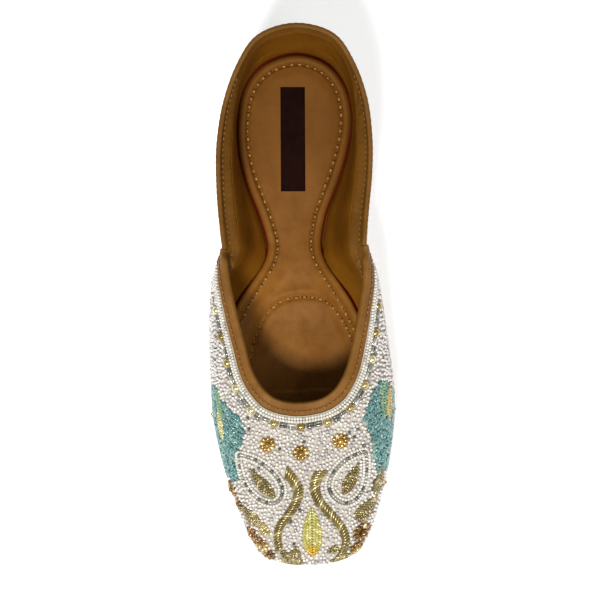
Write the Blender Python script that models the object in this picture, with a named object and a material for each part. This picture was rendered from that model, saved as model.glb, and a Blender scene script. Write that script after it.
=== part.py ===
"""A woman's flat slip-on shoe, right foot: a beaded vamp on a lined leather upper.

The toe points to -Y, the inner side of the foot is +X and +Z is up. The origin is
the middle of the shoe's box, on the floor. Lengths are in metres. "Along" runs from
the back of the heel to the toe, and "inner" and "outer" are the two sides.
"""

import math
from collections import namedtuple
from functools import lru_cache

import bmesh
import bpy
from mathutils import Vector

MM = 0.001

# Overall sizes
SHOE_LENGTH = 260.5 * MM  # back of the topline to the beads on the toe
BALL_WIDTH = 91 * MM  # over the beads, at the ball
BACK_RISE = 50 * MM  # topline at the back, above the feather edge
THROAT_RISE = 40.5 * MM  # middle of the throat, above the feather edge

# Sole unit and rand
SOLE_SHEET = 3.5 * MM  # rubber under waist and forefoot
HEEL_HEIGHT = 10 * MM  # rubber under the heel seat
TOE_SPRING = 6 * MM
HEEL_INSET = 0.4 * MM  # the heel block's ledge
SOLE_CHAMFER = 0.9 * MM
RAND_THICKNESS = 2.5 * MM
RAND_REACH = 1.8 * MM  # past the sole's outline
SEAT_END = 68 * MM  # the heel seat is level up to here
TREAD_START = 150 * MM  # the forefoot is level from here
SPRING_START = 192 * MM
BREAST_INNER = 85 * MM  # front of the heel, on the inner side
BREAST_OUTER = 79 * MM

# Upper
WALL = 1.4 * MM
FEATHER_REACH = 1.2 * MM  # feather edge past the sole's outline
GAP = 0.3 * MM  # between pieces
FOLD_GAP = 0.42 * MM  # inside a folded binding
LASTING_MARGIN = 3.2 * MM  # bare cloth between feather edge and beads
WAIST_MARGIN = 8.5 * MM  # the same, at the waist
MARGIN_START = 130 * MM  # the margin narrows from here to where the toe springs
BEAD_LAYER = 1.6 * MM
BINDING = 0.9 * MM  # leather of the bindings
THROAT_LEG = 6.5 * MM  # binding outside, round the throat
TOPLINE_LEG = 3.5 * MM  # binding outside, round the back
INNER_LEG = 4.5 * MM  # both bindings, inside
REAR_BINDING = 1.6 * MM  # thickness of the binding and the seam under it, on the vamp
LINING = 0.8 * MM
LINING_START = 0.65  # share of the margin at which the lining starts
DOME_POWER = 2.1  # fullness of the vamp over its widest line
START_ANGLE = math.radians(34)  # how steeply the wall leaves the rand

# Rear edge of the vamp, as a plane across the shoe, and the front of the lining
VAMP_EDGE_TOP = 108.5 * MM
VAMP_EDGE_FOOT = 97 * MM
REAR_LEG = 8.6 * MM
WING_TOP = 109 * MM
WING_FOOT = 137 * MM

# Insole
INSOLE = 3.2 * MM
INSOLE_INSET = 0.7 * MM  # short of the wall
INSOLE_ROUND = 2.4 * MM

# Mesh density
STEPS = 2  # ribs in each interval of the section table
ROWS = 12  # rows up the wall
ROW_BIAS = 1.25  # rows crowd towards the sole
CURVE_POINTS = 20  # points on the lower half of a rib before it is divided

# One row for each section, from the back of the heel to the tip of the toe.
# Along and rise are shares of SHOE_LENGTH and BACK_RISE, the half widths and the dome
# shares of BALL_WIDTH. sole: the rubber's outline. wide: the widest line of the upper,
# which is its topline behind the vamp. edge: the throat. swell: roundness of the wall
# below the widest line. dome: the distance over which the vamp arches to its full height.
Section = namedtuple(
    "Section",
    "sole_along sole_in sole_out wide_along wide_in wide_out wide_rise"
    " edge_along edge_in edge_out swell dome",
)
SECTIONS = [
    Section(0.034, 0.000, 0.000, 0.004, 0.000, 0.000, 1.00, 0.004, 0.000, 0.000, 1.75, 0.40),
    Section(0.052, 0.163, 0.176, 0.022, 0.188, 0.188, 0.985, 0.022, 0.188, 0.188, 1.75, 0.40),
    Section(0.096, 0.266, 0.289, 0.070, 0.290, 0.297, 0.935, 0.070, 0.290, 0.297, 1.72, 0.40),
    Section(0.155, 0.298, 0.329, 0.138, 0.358, 0.377, 0.85, 0.138, 0.358, 0.377, 1.65, 0.40),
    Section(0.217, 0.268, 0.324, 0.211, 0.380, 0.418, 0.785, 0.211, 0.380, 0.418, 1.55, 0.40),
    Section(0.278, 0.210, 0.283, 0.275, 0.374, 0.426, 0.75, 0.275, 0.374, 0.426, 1.45, 0.40),
    Section(0.340, 0.136, 0.214, 0.336, 0.354, 0.421, 0.735, 0.336, 0.354, 0.421, 1.38, 0.40),
    Section(0.402, 0.104, 0.172, 0.401, 0.338, 0.406, 0.730, 0.401, 0.338, 0.406, 1.35, 0.40),
    Section(0.456, 0.106, 0.190, 0.462, 0.384, 0.455, 0.58, 0.462, 0.334, 0.386, 1.35, 0.40),
    Section(0.509, 0.161, 0.278, 0.523, 0.412, 0.477, 0.44, 0.523, 0.303, 0.353, 1.40, 0.434),
    Section(0.574, 0.265, 0.380, 0.592, 0.438, 0.484, 0.32, 0.582, 0.266, 0.313, 1.55, 0.456),
    Section(0.640, 0.346, 0.437, 0.656, 0.460, 0.484, 0.25, 0.627, 0.230, 0.280, 1.70, 0.460),
    Section(0.713, 0.379, 0.440, 0.725, 0.460, 0.474, 0.22, 0.659, 0.180, 0.228, 1.80, 0.450),
    Section(0.793, 0.363, 0.401, 0.805, 0.427, 0.430, 0.20, 0.677, 0.124, 0.176, 1.80, 0.418),
    Section(0.859, 0.313, 0.352, 0.870, 0.380, 0.376, 0.19, 0.686, 0.068, 0.119, 1.80, 0.374),
    Section(0.924, 0.268, 0.281, 0.931, 0.322, 0.308, 0.17, 0.689, 0.020, 0.074, 1.80, 0.330),
    Section(0.970, 0.180, 0.172, 0.978, 0.222, 0.222, 0.155, 0.690, -0.008, 0.052, 1.80, 0.286),
    Section(0.987, 0.000, 0.000, 0.993, 0.000, 0.000, 0.15, 0.690, -0.033, 0.033, 1.80, 0.264),
]

# Height of the arch line over instep and toes: along as a share of SHOE_LENGTH, rise
# above the feather edge as a share of THROAT_RISE.
Crest = namedtuple("Crest", "along rise")
CRESTS = [
    Crest(0.000, 1.34),
    Crest(0.400, 1.30),
    Crest(0.460, 1.27),
    Crest(0.520, 1.22),
    Crest(0.590, 1.14),
    Crest(0.690, 1.00),
    Crest(0.763, 0.85),
    Crest(0.840, 0.685),
    Crest(0.916, 0.52),
    Crest(0.960, 0.43),
    Crest(1.000, 0.36),
]

# Sections between which pieces end. The planes above then cut them to length.
VAMP_FIRST = 5.5
VAMP_LAST = 9
WING_LAST = 10.5

LAST_ROW = len(SECTIONS) - 1
LOOP_ROWS = 2 * LAST_ROW
RIBS = STEPS * LOOP_ROWS
# Half the difference between the outer and inner reach, so that the box is centred.
AXIS_X = (max(s.wide_out for s in SECTIONS) - max(s.wide_in for s in SECTIONS)) / 2 * BALL_WIDTH

Finish = namedtuple("Finish", "red green blue roughness metallic")
TAN_BINDING = Finish(0.27, 0.13, 0.045, 0.45, 0.0)
FINISHES = {
    "outsole": Finish(0.135, 0.075, 0.045, 0.6, 0.0),
    "rand": Finish(0.62, 0.58, 0.50, 0.5, 0.0),
    "insole": Finish(0.24, 0.105, 0.03, 0.5, 0.0),
    "upper": Finish(0.60, 0.60, 0.56, 0.35, 0.15),
    "quarter_lining": Finish(0.25, 0.11, 0.03, 0.5, 0.0),
    "vamp_beadwork": Finish(0.75, 0.71, 0.66, 0.3, 0.0),
    "throat_binding": TAN_BINDING,
    "topline_binding": TAN_BINDING,
    "rear_binding_inner": TAN_BINDING,
    "rear_binding_outer": TAN_BINDING,
}


def blend(a, b, share):
    """The value a given share of the way from a to b."""
    return a + (b - a) * share


def ease(value, start, end):
    """0 before start, 1 after end, and a smooth rise between them."""
    share = min(1.0, max(0.0, (value - start) / (end - start)))
    return share * share * (3 - 2 * share)


def spline(a, b, c, d, share):
    """Catmull-Rom curve between b and c, for numbers or vectors."""
    return (
        b
        + (c - a) * (0.5 * share)
        + (a - b * 2.5 + c * 2 - d * 0.5) * share**2
        + (b * 1.5 - a * 0.5 - c * 1.5 + d * 0.5) * share**3
    )


def place(along, side):
    """Point of the floor plan: along from the heel's back, side towards the inner side."""
    return Vector((side + AXIS_X, SHOE_LENGTH / 2 - along, 0))


def along_of(point):
    """Distance of a point from the back of the shoe."""
    return SHOE_LENGTH / 2 - point.y


def sole_top(along):
    """Height of the rubber's top face."""
    level = blend(HEEL_HEIGHT, SOLE_SHEET, ease(along, SEAT_END, TREAD_START))
    sprung = max(0.0, (along - SPRING_START) / (SHOE_LENGTH - SPRING_START))
    return level + TOE_SPRING * sprung**2


def feather(along):
    """Height at which the upper's wall starts, on the rand."""
    return sole_top(along) + RAND_THICKNESS + 2 * GAP


def crest(along):
    """Height of the arch line that the vamp reaches between its sides."""
    share = along / SHOE_LENGTH
    last = len(CRESTS) - 1
    i = max(k for k in range(last) if CRESTS[k].along <= max(share, 0.0))
    a, b, c, d = (CRESTS[min(max(k, 0), last)].rise for k in (i - 1, i, i + 1, i + 2))
    local = (share - CRESTS[i].along) / (CRESTS[i + 1].along - CRESTS[i].along)
    return feather(along) + THROAT_RISE * spline(a, b, c, d, min(local, 1.0))


def loop_value(read, turn):
    """Reads a smooth value at turn, in sections round the shoe: heel, inner side, toe, outer side."""
    i = math.floor(turn)
    values = []
    for k in (i - 1, i, i + 1, i + 2):
        k %= LOOP_ROWS
        inner = k <= LAST_ROW
        values.append(read(SECTIONS[k if inner else LOOP_ROWS - k], inner))
    return spline(*values, turn - i)


def rail(turn, name):
    """Point of the plan on one of the rails sole, wide or edge."""

    def read(row, inner):
        side = getattr(row, name + ("_in" if inner else "_out")) * BALL_WIDTH
        along = getattr(row, name + "_along") * SHOE_LENGTH
        return place(along, side if inner else -side)

    return loop_value(read, turn)


def rail_normal(turn, name):
    """Direction in the plan that points out of a rail."""
    step = 0.02
    ahead = rail(turn + step, name) - rail(turn - step, name)
    return Vector((-ahead.y, ahead.x, 0)).normalized()


def outline(reach):
    """The sole's outline, moved out by reach, as one point for each rib."""
    turns = [k / STEPS for k in range(RIBS)]
    return [rail(t, "sole") + rail_normal(t, "sole") * reach for t in turns]


@lru_cache(maxsize=None)
def rib(turn):
    """The upper's outer face at turn, from the feather edge up to its free edge."""
    foot = rail(turn, "sole") + rail_normal(turn, "sole") * FEATHER_REACH
    wide = rail(turn, "wide")
    edge = rail(turn, "edge")
    foot.z = feather(along_of(foot))
    rise = loop_value(lambda row, _: row.wide_rise, turn) * BACK_RISE
    wide.z = feather(along_of(wide)) + rise
    swell = loop_value(lambda row, _: row.swell, turn)
    dome = loop_value(lambda row, _: row.dome, turn) * BALL_WIDTH
    points = []
    power = 2 / swell
    start_out = math.sin(START_ANGLE) ** power
    start_up = math.cos(START_ANGLE) ** power
    for k in range(CURVE_POINTS):
        angle = blend(START_ANGLE, math.pi / 2, k / CURVE_POINTS)
        up = 1 - math.cos(angle) ** power / start_up
        out = (math.sin(angle) ** power - start_out) / (1 - start_out)
        point = foot.lerp(wide, out)
        point.z = blend(foot.z, wide.z, up)
        points.append(point)
    points.append(wide)
    reach = Vector((edge.x - wide.x, edge.y - wide.y, 0))
    if reach.length > GAP:
        for k in range(1, CURVE_POINTS * 2 + 1):
            share = (k / (CURVE_POINTS * 2)) ** 2
            done = min(1.0, share * reach.length / dome)
            lift = (1 - (1 - done) ** DOME_POWER) ** (1 / DOME_POWER)
            point = wide + reach * share
            point.z = blend(wide.z, crest(along_of(point)), lift)
            points.append(point)
    lengths = [0.0]
    for a, b in zip(points, points[1:]):
        lengths.append(lengths[-1] + (b - a).length)
    return points, lengths


def rib_length(turn):
    """Length of the wall at turn, from feather edge to free edge."""
    return rib(turn)[1][-1]


def on_rib(turn, climb):
    """Point at the length climb up the rib at turn. Past either end it goes straight on."""
    points, lengths = rib(turn)
    last = len(lengths) - 1
    i = max(0, min(last - 1, sum(1 for x in lengths if x <= climb) - 1))
    share = (climb - lengths[i]) / (lengths[i + 1] - lengths[i])
    return points[i].lerp(points[i + 1], share)


def face_normal(turn, climb):
    """Direction out of the upper's outer face."""
    step = 0.05
    share = climb / rib_length(turn)
    before = on_rib(turn - step, share * rib_length(turn - step))
    after = on_rib(turn + step, share * rib_length(turn + step))
    rise = 0.5 * MM
    top = min(climb + rise, rib_length(turn))
    up = on_rib(turn, top) - on_rib(turn, max(top - 2 * rise, 0.0))
    return up.cross(after - before).normalized()


def skin(turn, climb, depth):
    """Point over the upper's outer face by depth, or under it where depth is negative."""
    inside = min(max(climb, 0.0), rib_length(turn))
    return on_rib(turn, climb) + face_normal(turn, inside) * depth


def vampness(turn):
    """1 on the vamp, 0 round the back, and smooth at the vamp's corners."""
    along = along_of(rail(turn, "wide"))
    return ease(along, VAMP_EDGE_TOP - 2 * REAR_LEG, VAMP_EDGE_TOP)


def margin(turn):
    """Bare cloth under the beads at turn."""
    along = along_of(rail(turn, "wide"))
    return blend(WAIST_MARGIN, LASTING_MARGIN, ease(along, MARGIN_START, SPRING_START))


def climbs(turn, leg):
    """Lengths up the wall at which the mesh has a row, from the margin up to a binding."""
    low = margin(turn)
    high = rib_length(turn) - leg - 1.6 * GAP
    return [blend(low, high, (k / (ROWS - 2)) ** ROW_BIAS) for k in range(ROWS - 1)]


def wall_rows(turn):
    """Rows of the upper, up to the binding that it has at turn."""
    return climbs(turn, blend(TOPLINE_LEG, THROAT_LEG, vampness(turn)))


def fold_row(turn):
    """Distance from the free edge to the row that lies under a binding."""
    return blend(TOPLINE_LEG / 2, INNER_LEG, vampness(turn))


def lining_start(turn):
    """Row at which the lining starts, over the insole's edge."""
    return margin(turn) * LINING_START


def material(name):
    """The finish of the piece of that name."""
    finish = FINISHES[name]
    colour = (finish.red, finish.green, finish.blue, 1)
    made = bpy.data.materials.new(name)
    made.use_nodes = True
    shader = made.node_tree.nodes["Principled BSDF"]
    shader.inputs["Base Color"].default_value = colour
    shader.inputs["Roughness"].default_value = finish.roughness
    shader.inputs["Metallic"].default_value = finish.metallic
    made.diffuse_color = colour
    return made


def solid(name, points, faces):
    """An object at the middle of its footprint, with a closed mesh of the points and faces."""
    lows = [min(p[axis] for p in points) for axis in range(3)]
    highs = [max(p[axis] for p in points) for axis in range(3)]
    home = Vector(((lows[0] + highs[0]) / 2, (lows[1] + highs[1]) / 2, lows[2]))
    mesh = bpy.data.meshes.new(name)
    mesh.from_pydata([tuple(p - home) for p in points], [], faces)
    shape = bmesh.new()
    shape.from_mesh(mesh)
    bmesh.ops.recalc_face_normals(shape, faces=shape.faces)
    if shape.calc_volume(signed=True) < 0:
        bmesh.ops.reverse_faces(shape, faces=shape.faces)
    bmesh.ops.triangulate(shape, faces=[f for f in shape.faces if len(f.verts) > 4])
    shape.to_mesh(mesh)
    shape.free()
    mesh.shade_smooth()
    mesh.set_sharp_from_angle(angle=math.radians(35))
    made = bpy.data.objects.new(name, mesh)
    made.location = home
    bpy.context.scene.collection.objects.link(made)
    if name in FINISHES:
        mesh.materials.append(material(name))
    return made


def grid_faces(columns, rows, closed, first=0):
    """Triangles over points laid out column by column, split the same way in every layer."""
    faces = []
    for i in range(columns if closed else columns - 1):
        for j in range(rows - 1):
            a = first + i * rows + j
            b = first + (i + 1) % columns * rows + j
            faces.append((a, b, b + 1))
            faces.append((a, b + 1, a + 1))
    return faces


def shell(name, turns, levels, low, high, closed=False):
    """A wall between two depths. levels(turn) gives its rows up each rib."""
    rows = len(levels(turns[0]))
    columns = len(turns)
    points = []
    for depth in (high, low):
        for turn in turns:
            points += [skin(turn, climb, depth) for climb in levels(turn)]
    count = columns * rows
    faces = grid_faces(columns, rows, closed)
    faces += [tuple(reversed(f)) for f in grid_faces(columns, rows, closed, count)]
    for i in range(columns if closed else columns - 1):
        for j in (0, rows - 1):
            a = i * rows + j
            b = (i + 1) % columns * rows + j
            faces.append((a, a + count, b + count, b))
    if not closed:
        for i in (0, columns - 1):
            for j in range(rows - 1):
                a = i * rows + j
                faces.append((a, a + 1, a + 1 + count, a + count))
    return solid(name, points, faces)


def sweep(name, turns, profile):
    """A bar along the free edge. profile(turn) gives its outline as pairs of down and depth."""
    outlines = [profile(turn) for turn in turns]
    points = []
    for turn, outline_pairs in zip(turns, outlines):
        points += [skin(turn, rib_length(turn) - down, depth) for down, depth in outline_pairs]
    rows = len(outlines[0])
    faces = []
    for i in range(len(turns) - 1):
        for j in range(rows):
            a, b = i * rows + j, i * rows + (j + 1) % rows
            rising = outlines[i][(j + 1) % rows][0] < outlines[i][j][0]
            if rising:
                faces += [(a, b, b + rows), (a, b + rows, a + rows)]
            else:
                faces += [(a, b, a + rows), (b, b + rows, a + rows)]
    faces.append(tuple(range(rows)))
    faces.append(tuple(len(points) - 1 - j for j in range(rows)))
    return solid(name, points, faces)


def slab(name, loops):
    """A plate between its first loop, under it, and its last, over it."""
    count = len(loops[0])
    half = count // 2
    points = [p for loop in loops for p in loop]
    faces = []
    for k in range(len(loops) - 1):
        for i in range(count):
            a, b = k * count + i, k * count + (i + 1) % count
            faces.append((a, b, b + count, a + count))
    for start in (0, (len(loops) - 1) * count):
        for i in range(half):
            ring = [start + i, start + i + 1]
            ring += [start + (count - i - 1) % count, start + (count - i) % count]
            faces.append(tuple(dict.fromkeys(ring)))
    return solid(name, points, faces)


def floor(_):
    """Height of the ground, anywhere along the shoe."""
    return 0.0


def lifted(loop, height, more=0.0):
    """The loop with each point at height(along), and more above it."""
    return [Vector((p.x, p.y, height(along_of(p)) + more)) for p in loop]


def block(name, corners):
    """A cutter with eight corners: the first four on one side of the shoe, low before high."""
    faces = [(0, 1, 3, 2), (4, 6, 7, 5), (0, 4, 5, 1), (2, 3, 7, 6), (0, 2, 6, 4), (1, 5, 7, 3)]
    return helper(solid(name, corners, faces))


def helper(shape):
    """Marks a cutter, which is no piece of the shoe."""
    shape.hide_render = True
    shape.display_type = "WIRE"
    return shape


def cross_block(name, top_along, foot_along, ahead):
    """A block across the shoe, in front of or behind a sloping plane."""
    reach = SHOE_LENGTH if ahead else -SHOE_LENGTH
    top = feather(0) + BACK_RISE
    foot = feather(TREAD_START)
    slope = (top_along - foot_along) / (top - foot)
    corners = []
    for side in (-BALL_WIDTH, BALL_WIDTH):
        for height in (-BACK_RISE, 2 * BACK_RISE):
            start = foot_along + slope * (height - foot)
            for along in (start, start + reach):
                corners.append(place(along, side) + Vector((0, 0, height)))
    return block(name, corners)


def cut(shape, cutter):
    """Takes the cutter away from the shape."""
    modifier = shape.modifiers.new("Cut " + cutter.name, "BOOLEAN")
    modifier.operation = "DIFFERENCE"
    modifier.solver = "EXACT"
    modifier.object = cutter


def turns_between(first, last):
    """Rib positions from section first to section last, as the upper has them."""
    return [k / STEPS for k in range(round(first * STEPS), round(last * STEPS) + 1)]


def breast_cutter():
    """A block in front of the heel's slightly slanted breast."""
    corners = []
    for side, breast in ((-BALL_WIDTH / 2, BREAST_OUTER), (BALL_WIDTH / 2, BREAST_INNER)):
        for height in (-HEEL_HEIGHT, 2 * HEEL_HEIGHT):
            for along in (breast, breast + SHOE_LENGTH):
                corners.append(place(along, side) + Vector((0, 0, height)))
    return block("ahead_of_breast", corners)


def sole_bottom(along):
    """Height of the underside of the rubber sheet."""
    return sole_top(along) - SOLE_SHEET


def make_outsole():
    """The moulded rubber sheet with its heel block, stepped at the breast."""
    edge = outline(0)
    sheet = slab(
        "outsole",
        [
            lifted(outline(-SOLE_CHAMFER), sole_bottom),
            lifted(edge, sole_bottom, SOLE_CHAMFER),
            lifted(edge, sole_top),
        ],
    )
    heel_edge = outline(-HEEL_INSET)
    heel = helper(
        slab(
            "heel_block",
            [
                lifted(outline(-HEEL_INSET - SOLE_CHAMFER), floor),
                lifted(heel_edge, floor, SOLE_CHAMFER),
                lifted(heel_edge, sole_bottom, SOLE_SHEET / 2),
            ],
        )
    )
    cut(heel, breast_cutter())
    join = sheet.modifiers.new("Heel block", "BOOLEAN")
    join.operation = "UNION"
    join.solver = "EXACT"
    join.object = heel
    return sheet


def make_rand():
    """The cream edge between rubber and upper, with rounded corners."""
    corner = RAND_THICKNESS / 3
    inner = outline(RAND_REACH - corner / 2)
    outer = outline(RAND_REACH)
    return slab(
        "rand",
        [
            lifted(inner, sole_top, GAP),
            lifted(outer, sole_top, GAP + corner),
            lifted(outer, sole_top, GAP + 2 * corner),
            lifted(inner, sole_top, GAP + RAND_THICKNESS),
        ],
    )


def make_upper():
    """The leather wall, one hollow solid open at the throat and under the foot."""
    turns = [k / STEPS for k in range(RIBS)]


    def levels(turn):
        length = rib_length(turn)
        return [0.0, lining_start(turn), *wall_rows(turn), length - fold_row(turn), length]

    return shell("upper", turns, levels, -WALL, 0.0, closed=True)


def vamp_turns():
    """Ribs from behind the vamp's inner corner, round the toe, to behind its outer one."""
    return turns_between(VAMP_FIRST, LOOP_ROWS - VAMP_FIRST)


def back_turns(end):
    """Ribs round the back of the shoe, from section end on the outer side to the inner one."""
    return [turn - LOOP_ROWS for turn in turns_between(LOOP_ROWS - end, LOOP_ROWS + end)]


def vamp_rows(turn):
    """Rows from the lasting margin up to the throat binding."""
    return climbs(turn, THROAT_LEG)


def make_vamp_beadwork(behind):
    """The beaded layer over the vamp, down to the lasting margin."""
    panel = shell("vamp_beadwork", vamp_turns(), vamp_rows, GAP, GAP + BEAD_LAYER)
    cut(panel, behind)
    return panel


def make_rear_binding(side, first, last, behind, ahead):
    """The binding down one rear edge of the vamp, from the throat to the rand."""

    def levels(turn):
        return [margin(turn) / 3, *vamp_rows(turn)]

    turns = turns_between(first, last)
    strip = shell("rear_binding_" + side, turns, levels, GAP, GAP + REAR_BINDING)
    cut(strip, behind)
    cut(strip, ahead)
    return strip


def fold_profile(turn, outer_leg, inner_leg, outer_depth):
    """Cross-section of a binding folded over the wall's free edge."""
    out = FOLD_GAP + outer_depth
    inside = -WALL - FOLD_GAP
    deep = inside - BINDING
    middle = min(fold_row(turn), outer_leg * 0.65)
    crown = -FOLD_GAP - BINDING
    return [
        (outer_leg, out),
        (middle, out),
        (0.0, out),
        (crown, out / 2),
        (crown, (deep - WALL) / 2),
        (0.0, deep),
        (inner_leg, deep),
        (inner_leg, inside),
        (-FOLD_GAP, inside),
        (-FOLD_GAP, FOLD_GAP),
        (middle, FOLD_GAP),
        (outer_leg, FOLD_GAP),
    ]


def make_throat_binding(behind):
    """The binding folded over the vamp's edge, from corner to corner."""

    def profile(turn):
        return fold_profile(turn, THROAT_LEG, INNER_LEG, REAR_BINDING)

    band = sweep("throat_binding", vamp_turns(), profile)
    cut(band, behind)
    return band


def make_topline_binding(ahead):
    """The binding folded over the topline, round the back."""

    def profile(turn):
        return fold_profile(turn, TOPLINE_LEG, INNER_LEG, BINDING)

    band = sweep("topline_binding", back_turns(VAMP_LAST), profile)
    cut(band, ahead)
    return band


def make_quarter_lining(front):
    """The back's lining, whose wings run forward inside the vamp."""

    def levels(turn):
        leg = blend(INNER_LEG, THROAT_LEG, vampness(turn))
        return [lining_start(turn), *wall_rows(turn)[:-1], rib_length(turn) - leg - GAP]

    inside = -WALL - GAP
    wall = shell("quarter_lining", back_turns(WING_LAST), levels, inside - LINING, inside)
    cut(wall, front)
    return wall


def insole_loop(height, reach):
    """The insole's outline at a height over its base, short of the wall's inner face by reach."""
    loop = []
    for k in range(RIBS):
        turn = k / STEPS
        climb = height
        for _ in range(4):
            point = skin(turn, climb, -WALL)
            climb += height - (point.z - feather(along_of(point)))
        inward = rail_normal(turn, "sole") * -reach
        point = skin(turn, max(climb, 0.0), -WALL) + inward
        loop.append(Vector((point.x, point.y, feather(along_of(point)) + height)))
    return loop


def make_insole():
    """The padded sock on the rand, with a rounded rim."""
    soft = INSOLE_ROUND
    return slab(
        "insole",
        [
            insole_loop(0.0, INSOLE_INSET + soft / 2),
            insole_loop(INSOLE * 0.5, INSOLE_INSET),
            insole_loop(INSOLE * 0.85, INSOLE_INSET + soft / 3),
            insole_loop(INSOLE, INSOLE_INSET + soft),
        ],
    )


def main():
    """Builds the shoe."""
    for old in list(bpy.data.objects):
        bpy.data.objects.remove(old)
    half = GAP / 2
    leg = REAR_LEG
    behind_vamp = cross_block("behind_vamp", VAMP_EDGE_TOP + half, VAMP_EDGE_FOOT + half, False)
    behind_beads = cross_block(
        "behind_beads", VAMP_EDGE_TOP + leg + GAP, VAMP_EDGE_FOOT + leg + GAP, False
    )
    ahead_of_leg = cross_block("ahead_of_leg", VAMP_EDGE_TOP + leg, VAMP_EDGE_FOOT + leg, True)
    ahead_of_back = cross_block("ahead_of_back", VAMP_EDGE_TOP - half, VAMP_EDGE_FOOT - half, True)
    ahead_of_wings = cross_block("ahead_of_wings", WING_TOP, WING_FOOT, True)
    inner = (VAMP_FIRST, VAMP_LAST)
    outer = (LOOP_ROWS - VAMP_LAST, LOOP_ROWS - VAMP_FIRST)
    make_outsole()
    make_rand()
    make_upper()
    make_vamp_beadwork(behind_beads)
    make_rear_binding("inner", *inner, behind_vamp, ahead_of_leg)
    make_rear_binding("outer", *outer, behind_vamp, ahead_of_leg)
    make_throat_binding(behind_vamp)
    make_topline_binding(ahead_of_back)
    make_quarter_lining(ahead_of_wings)
    make_insole()
    shoe = bpy.data.objects.new("flat_shoe", None)
    pieces = list(bpy.context.scene.collection.objects)
    bpy.context.scene.collection.objects.link(shoe)
    for piece in pieces:
        piece.parent = shoe


main()
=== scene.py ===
"""Looks of a woman's beaded flat shoe, right foot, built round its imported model.

Lengths are in metres. The toe points to -Y, the inner side of the foot is +X and +Z is
up. "Along" runs from the back of the heel to the toe. A place on the upper is given by
its turn, in sections round the shoe, and its climb, the length up the wall from the rand.
"""

import logging
import math
from collections.abc import Callable
from dataclasses import dataclass, field
from enum import Enum
from typing import NamedTuple

import bmesh
import bpy
import numpy as np
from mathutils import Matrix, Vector
from mathutils.bvhtree import BVHTree

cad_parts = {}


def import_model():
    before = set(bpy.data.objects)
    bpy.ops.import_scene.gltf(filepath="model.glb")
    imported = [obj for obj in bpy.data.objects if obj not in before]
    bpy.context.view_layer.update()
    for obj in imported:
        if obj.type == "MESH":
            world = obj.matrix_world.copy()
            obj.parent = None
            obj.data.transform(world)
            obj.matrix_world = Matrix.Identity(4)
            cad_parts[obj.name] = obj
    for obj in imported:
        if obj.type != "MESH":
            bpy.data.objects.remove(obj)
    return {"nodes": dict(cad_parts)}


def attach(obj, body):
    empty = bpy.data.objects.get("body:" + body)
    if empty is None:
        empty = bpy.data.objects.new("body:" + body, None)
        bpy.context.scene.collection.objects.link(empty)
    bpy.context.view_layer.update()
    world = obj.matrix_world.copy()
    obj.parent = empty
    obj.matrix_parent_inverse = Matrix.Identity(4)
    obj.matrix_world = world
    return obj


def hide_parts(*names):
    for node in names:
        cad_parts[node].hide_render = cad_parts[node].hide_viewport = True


LOG = logging.getLogger("flat_shoe")
MM = 0.001
BODY = "root"
Number = float | np.ndarray
Chart = tuple[tuple[float, float], ...]


class Section(NamedTuple):
    """One row of the shoe's section table, in shares of its length and ball width."""

    sole_along: float
    sole_in: float
    sole_out: float
    wide_along: float
    wide_in: float
    wide_out: float
    wide_rise: float
    edge_along: float
    edge_in: float
    edge_out: float
    swell: float
    dome: float


class Crest(NamedTuple):
    """Height of the arch line at a share of the shoe's length."""

    along: float
    rise: float


# The same sections as the solid model has, from the back of the heel to the toe.
SECTIONS = (
    Section(0.034, 0.000, 0.000, 0.004, 0.000, 0.000, 1.00, 0.004, 0.000, 0.000, 1.75, 0.40),
    Section(0.052, 0.163, 0.176, 0.022, 0.188, 0.188, 0.985, 0.022, 0.188, 0.188, 1.75, 0.40),
    Section(0.096, 0.266, 0.289, 0.070, 0.290, 0.297, 0.935, 0.070, 0.290, 0.297, 1.72, 0.40),
    Section(0.155, 0.298, 0.329, 0.138, 0.358, 0.377, 0.85, 0.138, 0.358, 0.377, 1.65, 0.40),
    Section(0.217, 0.268, 0.324, 0.211, 0.380, 0.418, 0.785, 0.211, 0.380, 0.418, 1.55, 0.40),
    Section(0.278, 0.210, 0.283, 0.275, 0.374, 0.426, 0.75, 0.275, 0.374, 0.426, 1.45, 0.40),
    Section(0.340, 0.136, 0.214, 0.336, 0.354, 0.421, 0.735, 0.336, 0.354, 0.421, 1.38, 0.40),
    Section(0.402, 0.104, 0.172, 0.401, 0.338, 0.406, 0.730, 0.401, 0.338, 0.406, 1.35, 0.40),
    Section(0.456, 0.106, 0.190, 0.462, 0.384, 0.455, 0.58, 0.462, 0.334, 0.386, 1.35, 0.40),
    Section(0.509, 0.161, 0.278, 0.523, 0.412, 0.477, 0.44, 0.523, 0.303, 0.353, 1.40, 0.434),
    Section(0.574, 0.265, 0.380, 0.592, 0.438, 0.484, 0.32, 0.582, 0.266, 0.313, 1.55, 0.456),
    Section(0.640, 0.346, 0.437, 0.656, 0.460, 0.484, 0.25, 0.627, 0.230, 0.280, 1.70, 0.460),
    Section(0.713, 0.379, 0.440, 0.725, 0.460, 0.474, 0.22, 0.659, 0.180, 0.228, 1.80, 0.450),
    Section(0.793, 0.363, 0.401, 0.805, 0.427, 0.430, 0.20, 0.677, 0.124, 0.176, 1.80, 0.418),
    Section(0.859, 0.313, 0.352, 0.870, 0.380, 0.376, 0.19, 0.686, 0.068, 0.119, 1.80, 0.374),
    Section(0.924, 0.268, 0.281, 0.931, 0.322, 0.308, 0.17, 0.689, 0.020, 0.074, 1.80, 0.330),
    Section(0.970, 0.180, 0.172, 0.978, 0.222, 0.222, 0.155, 0.690, -0.008, 0.052, 1.80, 0.286),
    Section(0.987, 0.000, 0.000, 0.993, 0.000, 0.000, 0.15, 0.690, -0.033, 0.033, 1.80, 0.264),
)
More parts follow.
